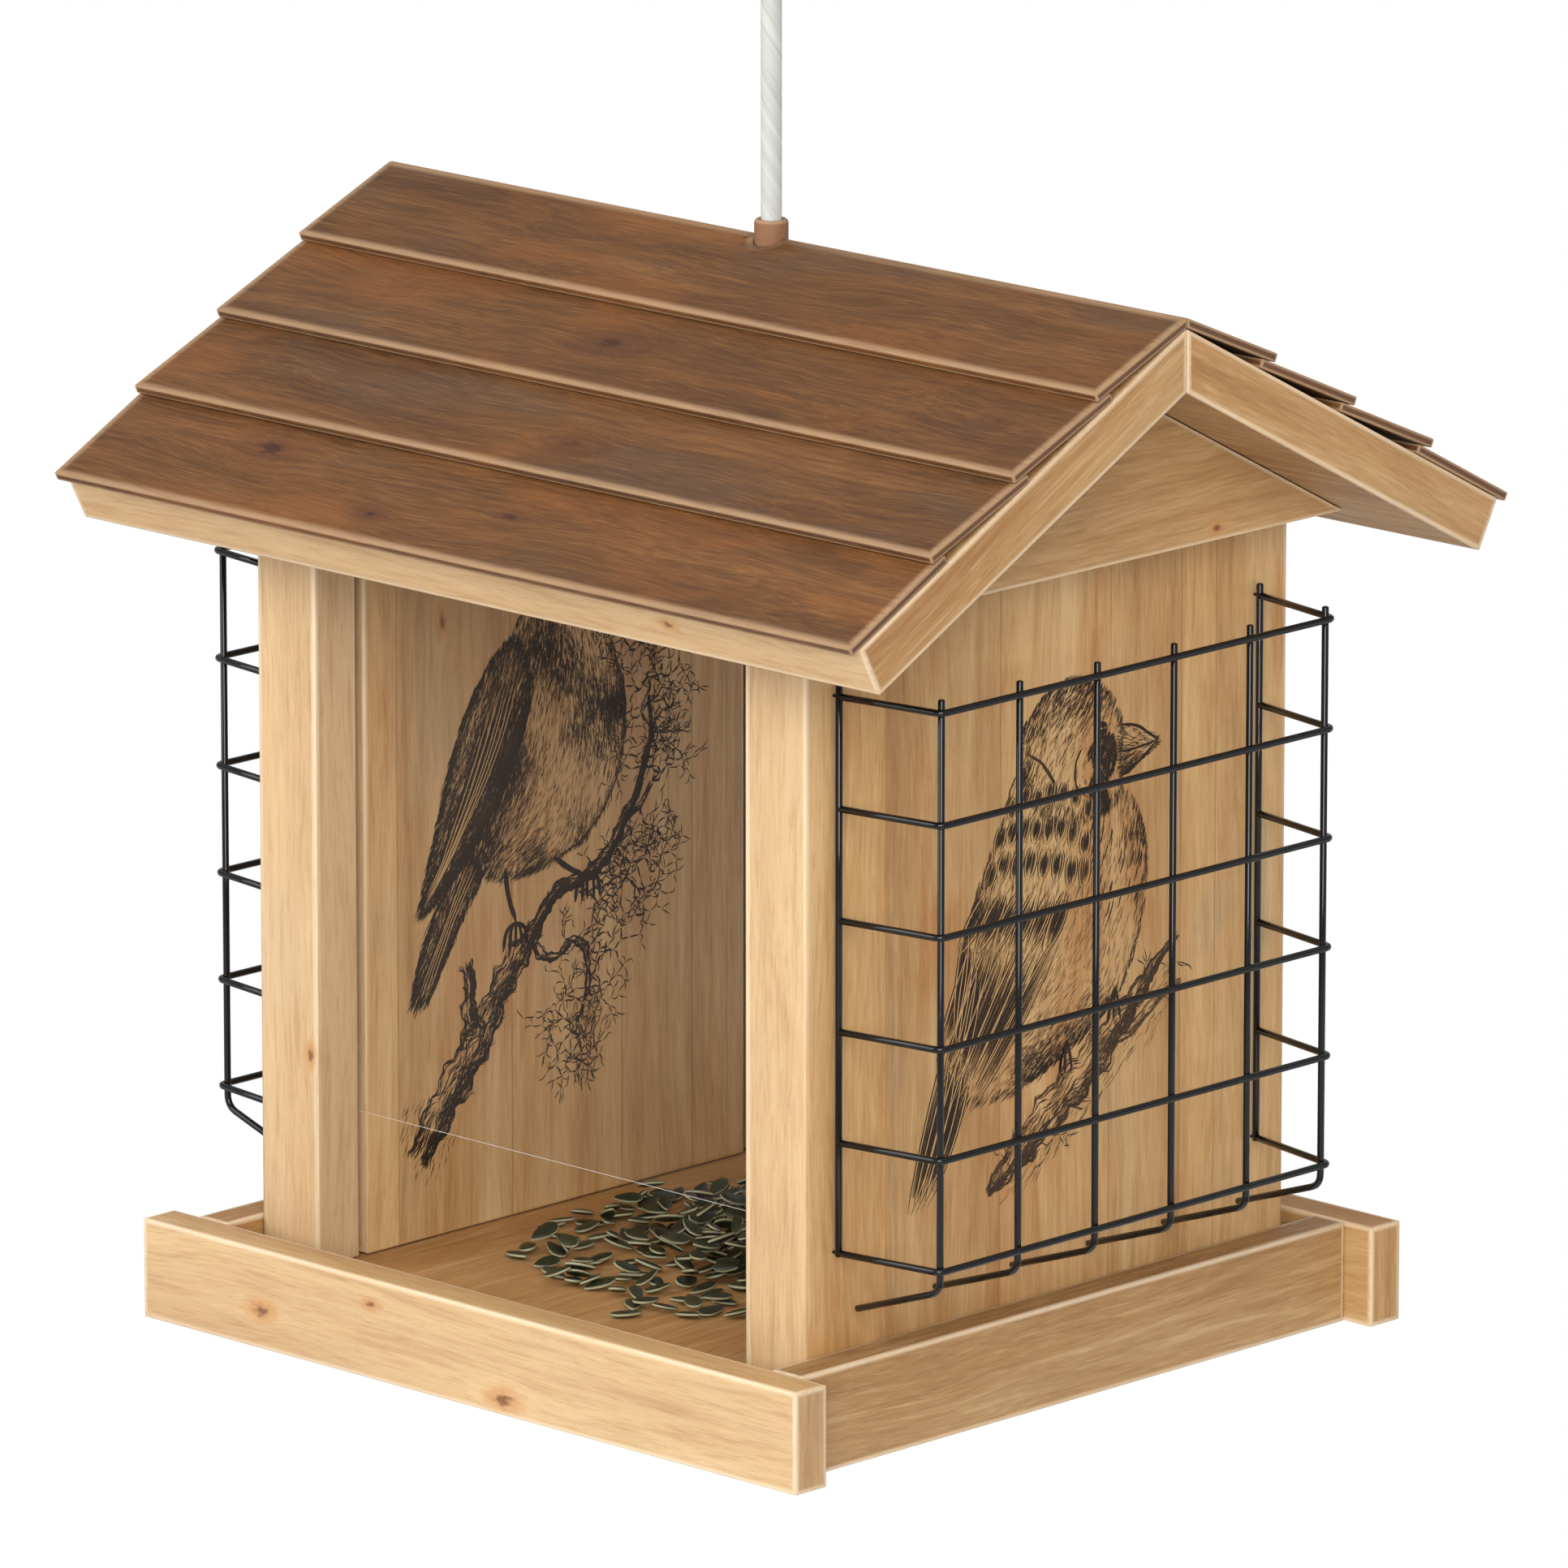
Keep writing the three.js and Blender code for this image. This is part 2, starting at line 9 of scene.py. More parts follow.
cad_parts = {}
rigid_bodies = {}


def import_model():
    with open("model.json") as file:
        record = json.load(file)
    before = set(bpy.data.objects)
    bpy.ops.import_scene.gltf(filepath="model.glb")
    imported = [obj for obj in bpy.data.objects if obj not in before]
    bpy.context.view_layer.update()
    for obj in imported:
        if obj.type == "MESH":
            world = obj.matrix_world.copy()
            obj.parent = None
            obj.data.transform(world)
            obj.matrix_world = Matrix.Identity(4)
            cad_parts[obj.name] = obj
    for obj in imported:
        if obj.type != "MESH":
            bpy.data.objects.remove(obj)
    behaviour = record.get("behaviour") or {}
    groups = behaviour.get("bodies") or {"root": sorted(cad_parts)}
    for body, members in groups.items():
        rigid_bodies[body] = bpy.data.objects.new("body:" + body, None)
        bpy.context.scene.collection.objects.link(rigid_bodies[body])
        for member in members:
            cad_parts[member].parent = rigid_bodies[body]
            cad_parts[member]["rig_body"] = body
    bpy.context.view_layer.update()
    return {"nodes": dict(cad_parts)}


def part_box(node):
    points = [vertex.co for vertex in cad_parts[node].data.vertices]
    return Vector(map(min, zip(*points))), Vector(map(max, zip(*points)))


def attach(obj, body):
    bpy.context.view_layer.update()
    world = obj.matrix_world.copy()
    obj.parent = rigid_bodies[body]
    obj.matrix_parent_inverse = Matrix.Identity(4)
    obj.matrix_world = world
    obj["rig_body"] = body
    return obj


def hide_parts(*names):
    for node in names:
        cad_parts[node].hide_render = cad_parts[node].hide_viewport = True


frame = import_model()

# ---- driving dimensions, in millimetres

MM = 0.001
HANG_HEIGHT = 350.0  # from the tray's underside to where the hook bears, which is the origin
RANDOM = np.random.RandomState(41)

GAP = 0.3  # between pieces: under the walls, round the screws and along the rope
FLOOR_TOP = 14.2
WALL_INNER_X = 68.1
WALL_OUTER_X = 86.7
WALL_HALF_DEPTH = 78.4
WALL_TOP = 195.2
GROOVE_DEPTH = 5.0
GROOVE_HALF = 1.3
WINDOW_Y = (-64.3, 62.1)

SLOPE = math.radians(27.9)
APEX = 251.3
ROOF_WIDTH = 117.4
ROOF_THICKNESS = 12.7
ROOF_X = (-123.0, 127.8)
HOLE_RADIUS = 4.2
PLANK_EDGES = (31.1, 61.0, 90.4, 120.2)
PLANK_THICKNESS = 2.1
PLANK_LAP = 4.1
PLANK_LIFT = 2.85
PLANK_GAP = 0.2
BOARD_MITRE, PLANK_MITRE = 0.15, 0.1  # from the ridge to a mitred edge
BUSHING_BORE, BUSHING_RADIUS, BUSHING_TOP, BUSHING_BOTTOM = 2.75, 3.9, 257.8, 237.4

ROPE_RADIUS = 2.4
ROPE_BOTTOM = 173.7
ROPE_TOP = 312.0
ROPE_PITCH = 22.0
ROPE_STRANDS, ROPE_YARNS = 4, 24
KNOT_HEIGHT, KNOT_SWELL, KNOT_TURNS = 12.0, 4.5, 2.6
LOOP_HALF_WIDTH = 10.5
BAR_Z = 180.0
BAR_RADIUS = 6.0
BAR_SEAT = 4.5  # how far the bar goes into each wall

WIRE_RADIUS = 0.8
WELD = 1.3
CELLS = 5
BASKET_X = 114.5
BASKET_Y = -64.4
COLUMN_STEP = 25.04
ROW_TOP = 173.5
ROW_STEP = 25.4
TIP_Z = 176.3
BACK_WIRE_X = 88.4
BACK_WIRE_Y = (-69.6, 67.6)
COLUMN_FOOT = ((BASKET_X, 41.5), (89, 32.8))
PIN_DEPTH, PIN_THICKNESS = 6.0, 0.45  # into the wall, and as a share of the wire

HEAD_RADIUS, SHANK_RADIUS, HEAD_HEIGHT = 3.4, 1.7, 2.2
THREAD_ROOT, THREAD_CREST, THREAD_RISE, THREAD_STEP = 1.15, 1.65, 0.55, 1.6
THREAD_START, THREAD_END = 3.0, 3.5  # up from the head, and down from the tip
SCREWS = range(1, 5)

SEED_LENGTH, SEED_WIDTH, SEED_THICKNESS = 7.4, 4.5, 1.35
SEED_SEGMENTS = 12
SEED_RINGS = ((0.95, 0.45, 0.75), (0.86, 0.66, 0.0), (0.5, 0.94, 0.0))  # breadth, height, pale rim

ALONG_X, ALONG_Y, ALONG_Z = (1, 0, 0), (0, 1, 0), (0, 0, 1)


def at(x, y, z):
    """A point in millimetres, up from the tray's underside, as a place in the frame."""
    return Vector((x * MM, y * MM, (z - HANG_HEIGHT) * MM))


def node_box(node):
    """The lower and upper corner of a CAD node, in the same millimetres."""
    return [(c[0] / MM, c[1] / MM, c[2] / MM + HANG_HEIGHT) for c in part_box(node)]


def circle(count):
    return [2 * math.pi * k / count for k in range(count)]


def spline(corners, steps, closed=False):
    """A Catmull-Rom curve through corners of any number of coordinates."""
    corners = np.array(corners, float)
    before, after = (corners[-1:], corners[:2]) if closed else (corners[:1], corners[-1:])
    padded = np.vstack([before, corners, after])
    found = []
    for a, b, c, d in zip(padded, padded[1:], padded[2:], padded[3:]):
        for t in np.arange(steps) / steps:
            bow = (2 * a - 5 * b + 4 * c - d) * t ** 2 + (3 * b - a - 3 * c + d) * t ** 3
            found.append(0.5 * (2 * b + (c - a) * t + bow))
    if not closed:
        found.append(corners[-1])
    return np.array(found)


def link(name, data):
    obj = bpy.data.objects.new(name, data)
    bpy.context.scene.collection.objects.link(obj)
    return obj


def from_bmesh(name, bm):
    bmesh.ops.recalc_face_normals(bm, faces=bm.faces)
    bm.normal_update()
    mesh = bpy.data.meshes.new(name)
    bm.to_mesh(mesh)
    bm.free()
    return mesh


def from_lists(name, verts, faces, **values):
    """A mesh with a value for each vertex under each given name."""
    mesh = bpy.data.meshes.new(name)
    mesh.from_pydata([tuple(v) for v in verts], [], faces)
    for key, numbers in values.items():
        layer = mesh.attributes.new(key, "FLOAT", "POINT")
        layer.data.foreach_set("value", np.array(numbers, np.float32))
    return mesh


def show(name, shape, material=None, host=None):
    """Shows a shape in place of the node of its name, or beside a host node on the same body."""
    mesh = from_bmesh(name, shape) if isinstance(shape, bmesh.types.BMesh) else shape
    if material:
        mesh.materials.append(material)
    obj = link(name + "_look", mesh)
    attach(obj, frame["nodes"][host or name]["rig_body"])
    if not host:
        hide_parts(name)
    return obj


# ---- shader building


class Shader:
    """A node tree, with short calls for the nodes that the surfaces are made of."""

    def __init__(self, name, owner=None):
        self.owner = owner or bpy.data.materials.new(name)
        self.owner.use_nodes = True
        self.tree = self.owner.node_tree
        self.tree.nodes.clear()

    def put(self, socket, value):
        if isinstance(value, bpy.types.NodeSocket):
            self.tree.links.new(value, socket)
        else:
            socket.default_value = (*value, 1.0) if socket.type == "RGBA" else value

    def add(self, kind, inputs=None, **settings):
        node = self.tree.nodes.new("ShaderNode" + kind)
        for key, value in settings.items():
            setattr(node, key, value)
        for key, value in (inputs or {}).items():
            self.put(node.inputs[key], value)
        return node

    def attribute(self, name, output="Fac"):
        return self.add("Attribute", attribute_name=name).outputs[output]

    def place(self, output="Object"):
        return self.add("TexCoord").outputs[output]

    def coordinate(self, where, axis):
        return self.add("SeparateXYZ", {0: where}).outputs[axis]

    def vector(self, operation, a, b):
        return self.add("VectorMath", {0: a, 1: b}, operation=operation).outputs["Vector"]

    def math(self, operation, a, b=0.0, clamp=False):
        return self.add("Math", {0: a, 1: b}, operation=operation, use_clamp=clamp).outputs[0]

    def times(self, a, b, clamp=False):
        return self.math("MULTIPLY", a, b, clamp)

    def blend(self, a, b, share=0.5):
        """The first value's share of the whole added to the rest of the second."""
        return self.math("ADD", self.times(a, share), self.times(b, 1 - share))

    def noise(self, where, scale, detail=3.0, roughness=0.55, distortion=0.0, output="Fac"):
        """Noise whose features are 1/scale long on each axis, in metres."""
        inputs = {"Vector": self.vector("MULTIPLY", where, scale), "Scale": 1.0, "Detail": detail,
                  "Roughness": roughness, "Distortion": distortion}
        return self.add("TexNoise", inputs).outputs[output]

    def span(self, value, low, high, to_low=0.0, to_high=1.0):
        inputs = {"Value": value, "From Min": low, "From Max": high, "To Min": to_low, "To Max": to_high}
        return self.add("MapRange", inputs, interpolation_type="SMOOTHSTEP").outputs["Result"]

    def ramp(self, value, stops, mode="LINEAR"):
        node = self.add("ValToRGB", {"Fac": value})
        node.color_ramp.interpolation = mode
        elements = node.color_ramp.elements
        while len(elements) < len(stops):
            elements.new(0.5)
        for element, (position, colour) in zip(elements, stops):
            element.position = position
            element.color = (*colour, 1.0)
        return node.outputs["Color"]

    def mix(self, factor, a, b, blend="MIX"):
        """Inputs 6 and 7 and output 2 are the node's colours."""
        return self.add("Mix", {0: factor, 6: a, 7: b}, data_type="RGBA", blend_type=blend).outputs[2]

    def tint(self, colour, *rows):
        """Lays each [mask, low, high, strength, tint] over a colour, as the mask runs from low to high."""
        for mask, low, high, strength, tint in rows:
            colour = self.mix(self.span(mask, low, high, 0.0, strength), colour, tint)
        return colour

    def bump(self, height, strength, distance):
        inputs = {"Strength": strength, "Distance": distance, "Height": height}
        return self.add("Bump", inputs).outputs["Normal"]

    def finish(self, colour, roughness, normal=None, **others):
        inputs = {"Base Color": colour, "Roughness": roughness}
        inputs.update({key.replace("_", " "): value for key, value in others.items()})
        if normal:
            inputs["Normal"] = normal
        shader = self.add("BsdfPrincipled", inputs)
        self.add("OutputMaterial", {"Surface": shader.outputs[0]})
        return self.owner


# ---- wood

BOARD_GRAINS = {}  # each board's grain: its middle, its three directions and its offset


class Wood(Shader):
    """A shader with a board's marks and its grain, which wanders and is drawn in round the knots."""

    def __init__(self, name, knots, spread, drift, sway):
        super().__init__(name)
        self.plain = self.attribute("grain", "Vector")
        # The tone attribute holds each face's painted light and shade, by facing and place, added to its
        # board's own tone.
        self.tone, self.wear, self.end_face = (self.attribute(n) for n in ("tone", "wear", "end_face"))
        self.knot, self.halo = 0.0, 0.0
        self.pull_to_knots(knots, spread, 0.62)
        wander = self.vector("SUBTRACT", self.noise(self.grain, drift, 2.0, output="Color"), (0.5,) * 3)
        self.bent = self.vector("ADD", self.grain, self.vector("MULTIPLY", wander, (0.0, sway, sway)))

    def pull_to_knots(self, knots, spread, pull, length=0.55, raggedness=2.2):
        """Knots are [board, point, radius]. Their length scales distance along the grain."""
        self.grain = self.plain
        speckle = self.noise(self.plain, (420, 900, 900), 3.0, 0.65)
        ragged = self.times(self.math("SUBTRACT", speckle, 0.5), raggedness)
        for board, point, radius in knots:
            origin, basis, offset = BOARD_GRAINS[board]
            centre = Vector([(at(*point) - origin).dot(axis) for axis in basis]) + offset
            away = self.vector("SUBTRACT", self.grain, centre)
            squashed = self.vector("MULTIPLY", away, (length, 1.0, 1.0))
            distance = self.add("VectorMath", {0: squashed}, operation="LENGTH").outputs["Value"]
            distance = self.math("ADD", distance, self.times(ragged, radius * MM))
            near = self.span(distance, 0.0, radius * spread * MM, 1.0, 0.0)
            core = self.span(distance, radius * 0.25 * MM, radius * 1.15 * MM, 1.0, 0.0)
            shift = self.vector("MULTIPLY", away, self.times(near, pull))
            self.grain = self.vector("SUBTRACT", self.grain, shift)
            self.knot = self.math("MAXIMUM", self.knot, core)
            self.halo = self.math("MAXIMUM", self.halo, near)


def make_light_wood(name, knots=(), staves=(), patchy=0.5, painted_interior_warmth=0.0):
    """Light wood. A stave is [its lower y, shade], for a board that is glued from several."""
    s = Wood(name, knots, 4.5, (7, 26, 26), 0.012)
    figure = s.noise(s.bent, (4.0, 60, 60), 4.0, 0.62)
    mottle = s.noise(s.bent, (26, 430, 430), 4.0, 0.64)
    fibre = s.noise(s.bent, (110, 1700, 1700), 3.0, 0.6)
    pore = s.noise(s.bent, (240, 3000, 3000), 2.0, 0.6)
    patch = s.noise(s.plain, (11, 34, 34), 3.0, 0.5, 0.6)

    colour = s.ramp(figure, [(0.32, (0.37, 0.185, 0.058)), (0.46, (0.455, 0.252, 0.09)),
                             (0.56, (0.51, 0.305, 0.122)), (0.7, (0.575, 0.375, 0.175))])
    colour = s.tint(colour, (patch, 0.54, 0.7, patchy, (0.4, 0.172, 0.044)),
                    (patch, 0.44, 0.3, patchy * 0.7, (0.4, 0.27, 0.14)))
    # Painted shade: the floor inside the feeder is pulled towards a deeper, warmer orange, for its enclosed,
    # bounced light.
    colour = s.mix(painted_interior_warmth, colour, (0.43, 0.2, 0.056))
    # Painted light and shade: a negative tone darkens the colour and a positive one pales it.
    colour = s.mix(s.times(s.tone, -0.5, clamp=True), colour, (0.215, 0.105, 0.034))
    colour = s.mix(s.times(s.tone, 0.48, clamp=True), colour, (0.6, 0.452, 0.278))
    colour = s.mix(s.times(s.end_face, 0.4), colour, (0.245, 0.118, 0.038))
    darker = s.mix(1.0, colour, (0.66, 0.56, 0.44), "MULTIPLY")
    paler = (0.65, 0.46, 0.24)
    colour = s.tint(colour, (mottle, 0.5, 0.68, 0.42, darker), (fibre, 0.5, 0.68, 0.34, darker),
                    (mottle, 0.48, 0.32, 0.24, paler), (fibre, 0.47, 0.32, 0.14, paler),
                    (pore, 0.6, 0.72, 0.16, (0.25, 0.12, 0.045)))
    if staves:
        y, reach = s.coordinate(s.place(), "Y"), 0.2
        stops = [(0.5 + edge * MM / reach, (shade,) * 3) for edge, shade in staves]
        shade = s.ramp(s.math("ADD", s.math("DIVIDE", y, reach), 0.5), stops, "CONSTANT")
        colour = s.mix(1.0, colour, shade, "MULTIPLY")
        for edge, _ in staves[1:]:
            off = s.math("ABSOLUTE", s.math("SUBTRACT", y, edge * MM))
            colour = s.mix(s.span(off, 0.00006, 0.0003, 0.55, 0.0), colour, (0.19, 0.095, 0.04))
    colour = s.tint(colour, (s.halo, 0.25, 1.0, 0.62, (0.44, 0.18, 0.045)))
    colour = s.mix(s.times(s.knot, 0.85), colour, (0.13, 0.046, 0.014))
    broken = s.times(s.span(s.wear, 0.05, 1.0), s.span(mottle, 0.25, 0.62, 0.45, 1.0))
    colour = s.mix(s.times(broken, 0.55), colour, (0.8, 0.65, 0.46))

    height = s.math("ADD", s.times(fibre, 0.6), s.times(pore, -0.5))
    roughness = s.span(fibre, 0.3, 0.7, 0.5, 0.64)
    return s.finish(colour, roughness, s.bump(height, 0.25, 0.0002), Specular_IOR_Level=0.5)


def make_stained_wood(name, knots=(), tint=(0.0, 0.0, 0.0), tinted=0.0):
    """Stained wood, worn pale at its edges, with an even tint over it for a turned piece."""
    s = Wood(name, knots, 5.0, (9, 34, 34), 0.014)
    figure = s.noise(s.bent, (7, 90, 90), 4.0, 0.6)
    streak = s.noise(s.bent, (34, 750, 750), 4.0, 0.62)
    fibre = s.noise(s.bent, (80, 2300, 2300), 3.0, 0.6)
    patch = s.noise(s.grain, (13, 36, 36), 3.0, 0.55, 0.6)

    colour = s.ramp(s.blend(figure, streak, 0.55), [
        (0.32, (0.06, 0.024, 0.007)), (0.44, (0.092, 0.037, 0.011)),
        (0.54, (0.125, 0.051, 0.015)), (0.68, (0.195, 0.083, 0.024))])
    colour = s.tint(colour, (patch, 0.5, 0.66, 0.55, (0.19, 0.066, 0.014)),
                    (patch, 0.47, 0.34, 0.5, (0.09, 0.052, 0.028)),
                    (fibre, 0.5, 0.66, 0.34, (0.045, 0.016, 0.006)),
                    (fibre, 0.47, 0.33, 0.26, (0.27, 0.125, 0.044)),
                    (s.halo, 0.1, 1.0, 0.6, (0.085, 0.03, 0.012)))
    colour = s.mix(s.times(s.knot, 0.85), colour, (0.036, 0.012, 0.006))
    # Painted shade: the tone scales the colour, so the planks' painted undersides come out darker.
    bright = s.math("ADD", 1.0, s.times(s.tone, 0.14))
    shade = s.add("CombineColor", {0: bright, 1: bright, 2: bright}).outputs[0]
    colour = s.mix(1.0, colour, shade, "MULTIPLY")
    colour = s.mix(s.times(s.end_face, 0.6), colour, (0.105, 0.052, 0.028))
    colour = s.mix(tinted, colour, tint)
    broken = s.times(s.span(s.wear, 0.15, 0.95), s.span(streak, 0.2, 0.6, 0.6, 1.0))
    colour = s.mix(s.times(broken, 0.78), colour, (0.37, 0.23, 0.125))
    roughness = s.span(streak, 0.3, 0.7, 0.5, 0.62)
    return s.finish(colour, roughness, s.bump(s.blend(fibre, streak), 0.35, 0.0003), Specular_IOR_Level=0.25)


# ---- boards

SHARP_BELOW = 1.6  # edges shorter than this aren't eased
FACING = 0.85  # how squarely a face looks along an axis, to count as an end or a front
# How wide the band of painted highlight along a pane's rim is, in millimetres.
PANE_GLINT_BAND = 0.2


def build_board(name, lower, upper, along, across, tone=0.0, bevel=0.45, band=1.0, painted_front_light=0.0,
                wear_or_glint_band=None, painted_light_at=None, material=None):
    """A board between two rings of corners, with eased edges and a marked band round each face: wear on wood,
    a painted highlight along a window pane's rim.

    The grain runs along one axis. Each face keeps an inner outline, so that the wear, and on a pane the
    painted highlight, fades from its edges, and the eased edges shade softly into it.
    """
    bm = bmesh.new()
    count = len(lower)
    low = [bm.verts.new(at(*p)) for p in lower]
    high = [bm.verts.new(at(*p)) for p in upper]
    bm.faces.new(low)
    bm.faces.new(high)
    for i in range(count):
        j = (i + 1) % count
        bm.faces.new((low[i], low[j], high[j], high[i]))
    bmesh.ops.recalc_face_normals(bm, faces=bm.faces)

    long_edges = [e for e in bm.edges if e.calc_length() > SHARP_BELOW * MM and e.is_convex]
    bmesh.ops.bevel(bm, geom=long_edges, offset=bevel * MM, segments=2, profile=0.6, affect="EDGES",
                    clamp_overlap=True)
    bm.faces.ensure_lookup_table()

    wear_layer = bm.verts.layers.float.new("wear")
    for vert in bm.verts:
        vert[wear_layer] = 1.0 if wear_or_glint_band is None or wear_or_glint_band(vert.co) else 0.0
    for face in list(bm.faces):
        breadth = 2 * face.calc_area() / face.calc_perimeter()
        if breadth < MM:
            continue
        thickness = min(band * MM, 0.3 * breadth)
        bmesh.ops.inset_individual(bm, faces=[face], thickness=thickness, use_even_offset=True)
        for vert in face.verts:
            vert[wear_layer] = 0.0

    along, across = Vector(along).normalized(), Vector(across).normalized()
    basis = (along, across, along.cross(across).normalized())
    origin = sum((at(*p) for p in [*lower, *upper]), Vector()) / (2 * count)
    offset = Vector(RANDOM.uniform(-3, 3, 3))
    BOARD_GRAINS[name] = (origin, basis, offset)
    grain_layer = bm.loops.layers.float_vector.new("grain")
    tone_and_shade_layer = bm.faces.layers.float.new("tone")
    end_layer = bm.faces.layers.float.new("end_face")
    for face in bm.faces:
        normal = face.normal
        is_end = abs(normal.dot(along)) > FACING
        for loop in face.loops:
            a, b, c = ((loop.vert.co - origin).dot(axis) for axis in basis)
            loop[grain_layer] = Vector((b, c, a) if is_end else (a, b, c)) + offset
        # Painted light: faces that look straight forward or back are painted paler.
        front = painted_front_light if abs(normal.y) > FACING else 0.0
        # Painted shade: undersides are painted much darker and upward faces somewhat darker.
        painted_facing_shade = -0.75 if normal.z < -0.5 else -0.4 if normal.z > 0.95 else 0.0
        face[tone_and_shade_layer] = tone + front + painted_facing_shade + (painted_light_at(face.calc_center_median()) if painted_light_at else 0.0)
        face[end_layer] = 1.0 if is_end else 0.0
        face.smooth = True
    show(name, bm, material)


def box_rings(node):
    (x0, y0, z0), (x1, y1, z1) = node_box(node)
    ring = [(x0, y0), (x1, y0), (x1, y1), (x0, y1)]
    return [(x, y, z0) for x, y in ring], [(x, y, z1) for x, y in ring]


def build_tray():
    # The last column is a tone with painted light and shade in it: the front rail is painted paler and the
    # side rails darker, the right one most, for how each side faces the lamps, and the floor board a little
    # darker as painted shade inside the feeder.
    for node, along, across, tone in (
        ("front_tray_rail", ALONG_X, ALONG_Z, 0.8),
        ("rear_tray_rail", ALONG_X, ALONG_Z, 0.0),
        ("left_tray_rail", ALONG_Y, ALONG_Z, -0.5),
        ("right_tray_rail", ALONG_Y, ALONG_Z, -1.15),
        ("floor_board", ALONG_Y, ALONG_X, -0.2),
    ):
        build_board(node, *box_rings(node), along, across, tone)


def build_walls():
    outer, inner, deep = WALL_OUTER_X, WALL_INNER_X, WALL_INNER_X + GROOVE_DEPTH
    outline = [(outer, -WALL_HALF_DEPTH), (outer, WALL_HALF_DEPTH), (inner, WALL_HALF_DEPTH)]
    for y in reversed(WINDOW_Y):
        front, back = y - GROOVE_HALF, y + GROOVE_HALF
        outline += [(inner, back), (deep, back), (deep, front), (inner, front)]
    outline.append((inner, -WALL_HALF_DEPTH))
    bottom = FLOOR_TOP + GAP
    for side, node in ((-1, "left_wall"), (1, "right_wall")):
        lower, upper = ([(side * x, y, z) for x, y in outline] for z in (bottom, WALL_TOP))
        build_board(node, lower, upper, ALONG_Z, ALONG_Y, painted_front_light=0.85,
                    wear_or_glint_band=lambda co: co.z > at(0, 0, bottom + 2).z, painted_light_at=inner_face_painted_light)


def inner_face_painted_light(centre):
    """Painted light: how much paler a wall's inner face is drawn than its outer one, most of all in front of
    its window, for the light that falls in through the openings.
    """
    if abs(centre.x) > at(WALL_INNER_X + 1, 0, 0).x:
        return 0.0
    return 1.15 if centre.y < at(0, WINDOW_Y[0], 0).y else 0.2


def on_slope(side, down, off):
    """The y and z of a point down the roof's slope and off its surface."""
    y = down * math.cos(SLOPE) + off * math.sin(SLOPE)
    return side * y, APEX - down * math.sin(SLOPE) + off * math.cos(SLOPE)


def across_roof(top, low):
    """Corners of a face across the roof between two points on its slope."""
    return [(ROOF_X[0], *top), (ROOF_X[1], *top), (ROOF_X[1], *low), (ROOF_X[0], *low)]


def ridge_ring(top, low, ridge_y):
    """The same face with its upper edge at the ridge, and half of the bushing's hole in that edge."""
    side = math.copysign(1, low[0] - top[0])
    notch = [math.pi * i / 10 for i in range(11)]
    points = [(ROOF_X[0], ridge_y), (-HOLE_RADIUS, ridge_y)]
    points += [(-HOLE_RADIUS * math.cos(a), ridge_y + side * HOLE_RADIUS * math.sin(a)) for a in notch[1:-1]]
    points += [(HOLE_RADIUS, ridge_y), (ROOF_X[1], ridge_y)]
    fall = (low[1] - top[1]) / (low[0] - top[0])
    return [(x, y, top[1] + fall * (y - top[0])) for x, y in points] + across_roof(top, low)[2:]


def plank_corners(side, number):
    lowest = number == len(PLANK_EDGES)
    start = 0.0 if number == 1 else PLANK_EDGES[number - 2] - PLANK_LAP
    a = on_slope(side, start, PLANK_GAP)
    b = on_slope(side, PLANK_EDGES[number - 1], PLANK_GAP if lowest else PLANK_LIFT)
    thick = side * PLANK_THICKNESS / math.dist(a, b)
    up = (-(b[1] - a[1]) * thick, (b[0] - a[0]) * thick)
    return a, b, (a[0] + up[0], a[1] + up[1]), (b[0] + up[0], b[1] + up[1])


def build_roof():
    for place, side in (("front", -1), ("rear", 1)):
        down_slope = (0, side * math.cos(SLOPE), -math.sin(SLOPE))
        top, low, under_top, under_low = (
            on_slope(side, down, off) for off in (0, -ROOF_THICKNESS) for down in (0, ROOF_WIDTH))
        mitre = side * BOARD_MITRE
        rings = ridge_ring(under_top, under_low, mitre), ridge_ring(top, low, mitre)
        build_board(f"{place}_roof_board", *rings, ALONG_X, down_slope, -0.2, painted_front_light=1.0)
        for number in range(1, len(PLANK_EDGES) + 1):
            a, b, a_up, b_up = plank_corners(side, number)
            if number == 1:
                mitre = side * PLANK_MITRE
                rings = ridge_ring(a, b, mitre), ridge_ring(a_up, b_up, mitre)
            else:
                rings = across_roof(a, b), across_roof(a_up, b_up)
            build_board(f"{place}_plank_{number}", *rings, ALONG_X, down_slope, RANDOM.uniform(-0.6, 0.6),
                        bevel=0.35, band=2.6)

    for node in ("left_gable_board", "right_gable_board"):
        (x0, y0, z0), (x1, y1, z1) = node_box(node)
        rings = ([(x, y0, z0), (x, y1, z0), (x, 0.0, z1)] for x in (x0, x1))
        # Painted shade: the gable boards, under the roof's overhang, are painted darker with a tone of -0.75.
        build_board(node, *rings, ALONG_Y, ALONG_Z, -0.75, bevel=0.15)


def build_windows(material):
    for node in ("front_window", "rear_window"):
        rings = box_rings(node)
        # The band along each pane's outer rim is marked for the painted highlight in the acrylic's look.
        outer = max(abs(p[1]) for p in rings[0]) - PANE_GLINT_BAND
        build_board(node, *rings, ALONG_X, ALONG_Z, bevel=0.1, band=0.3,
                    wear_or_glint_band=lambda co: abs(co.y) > at(0, outer, 0).y, material=material)


# ---- round things


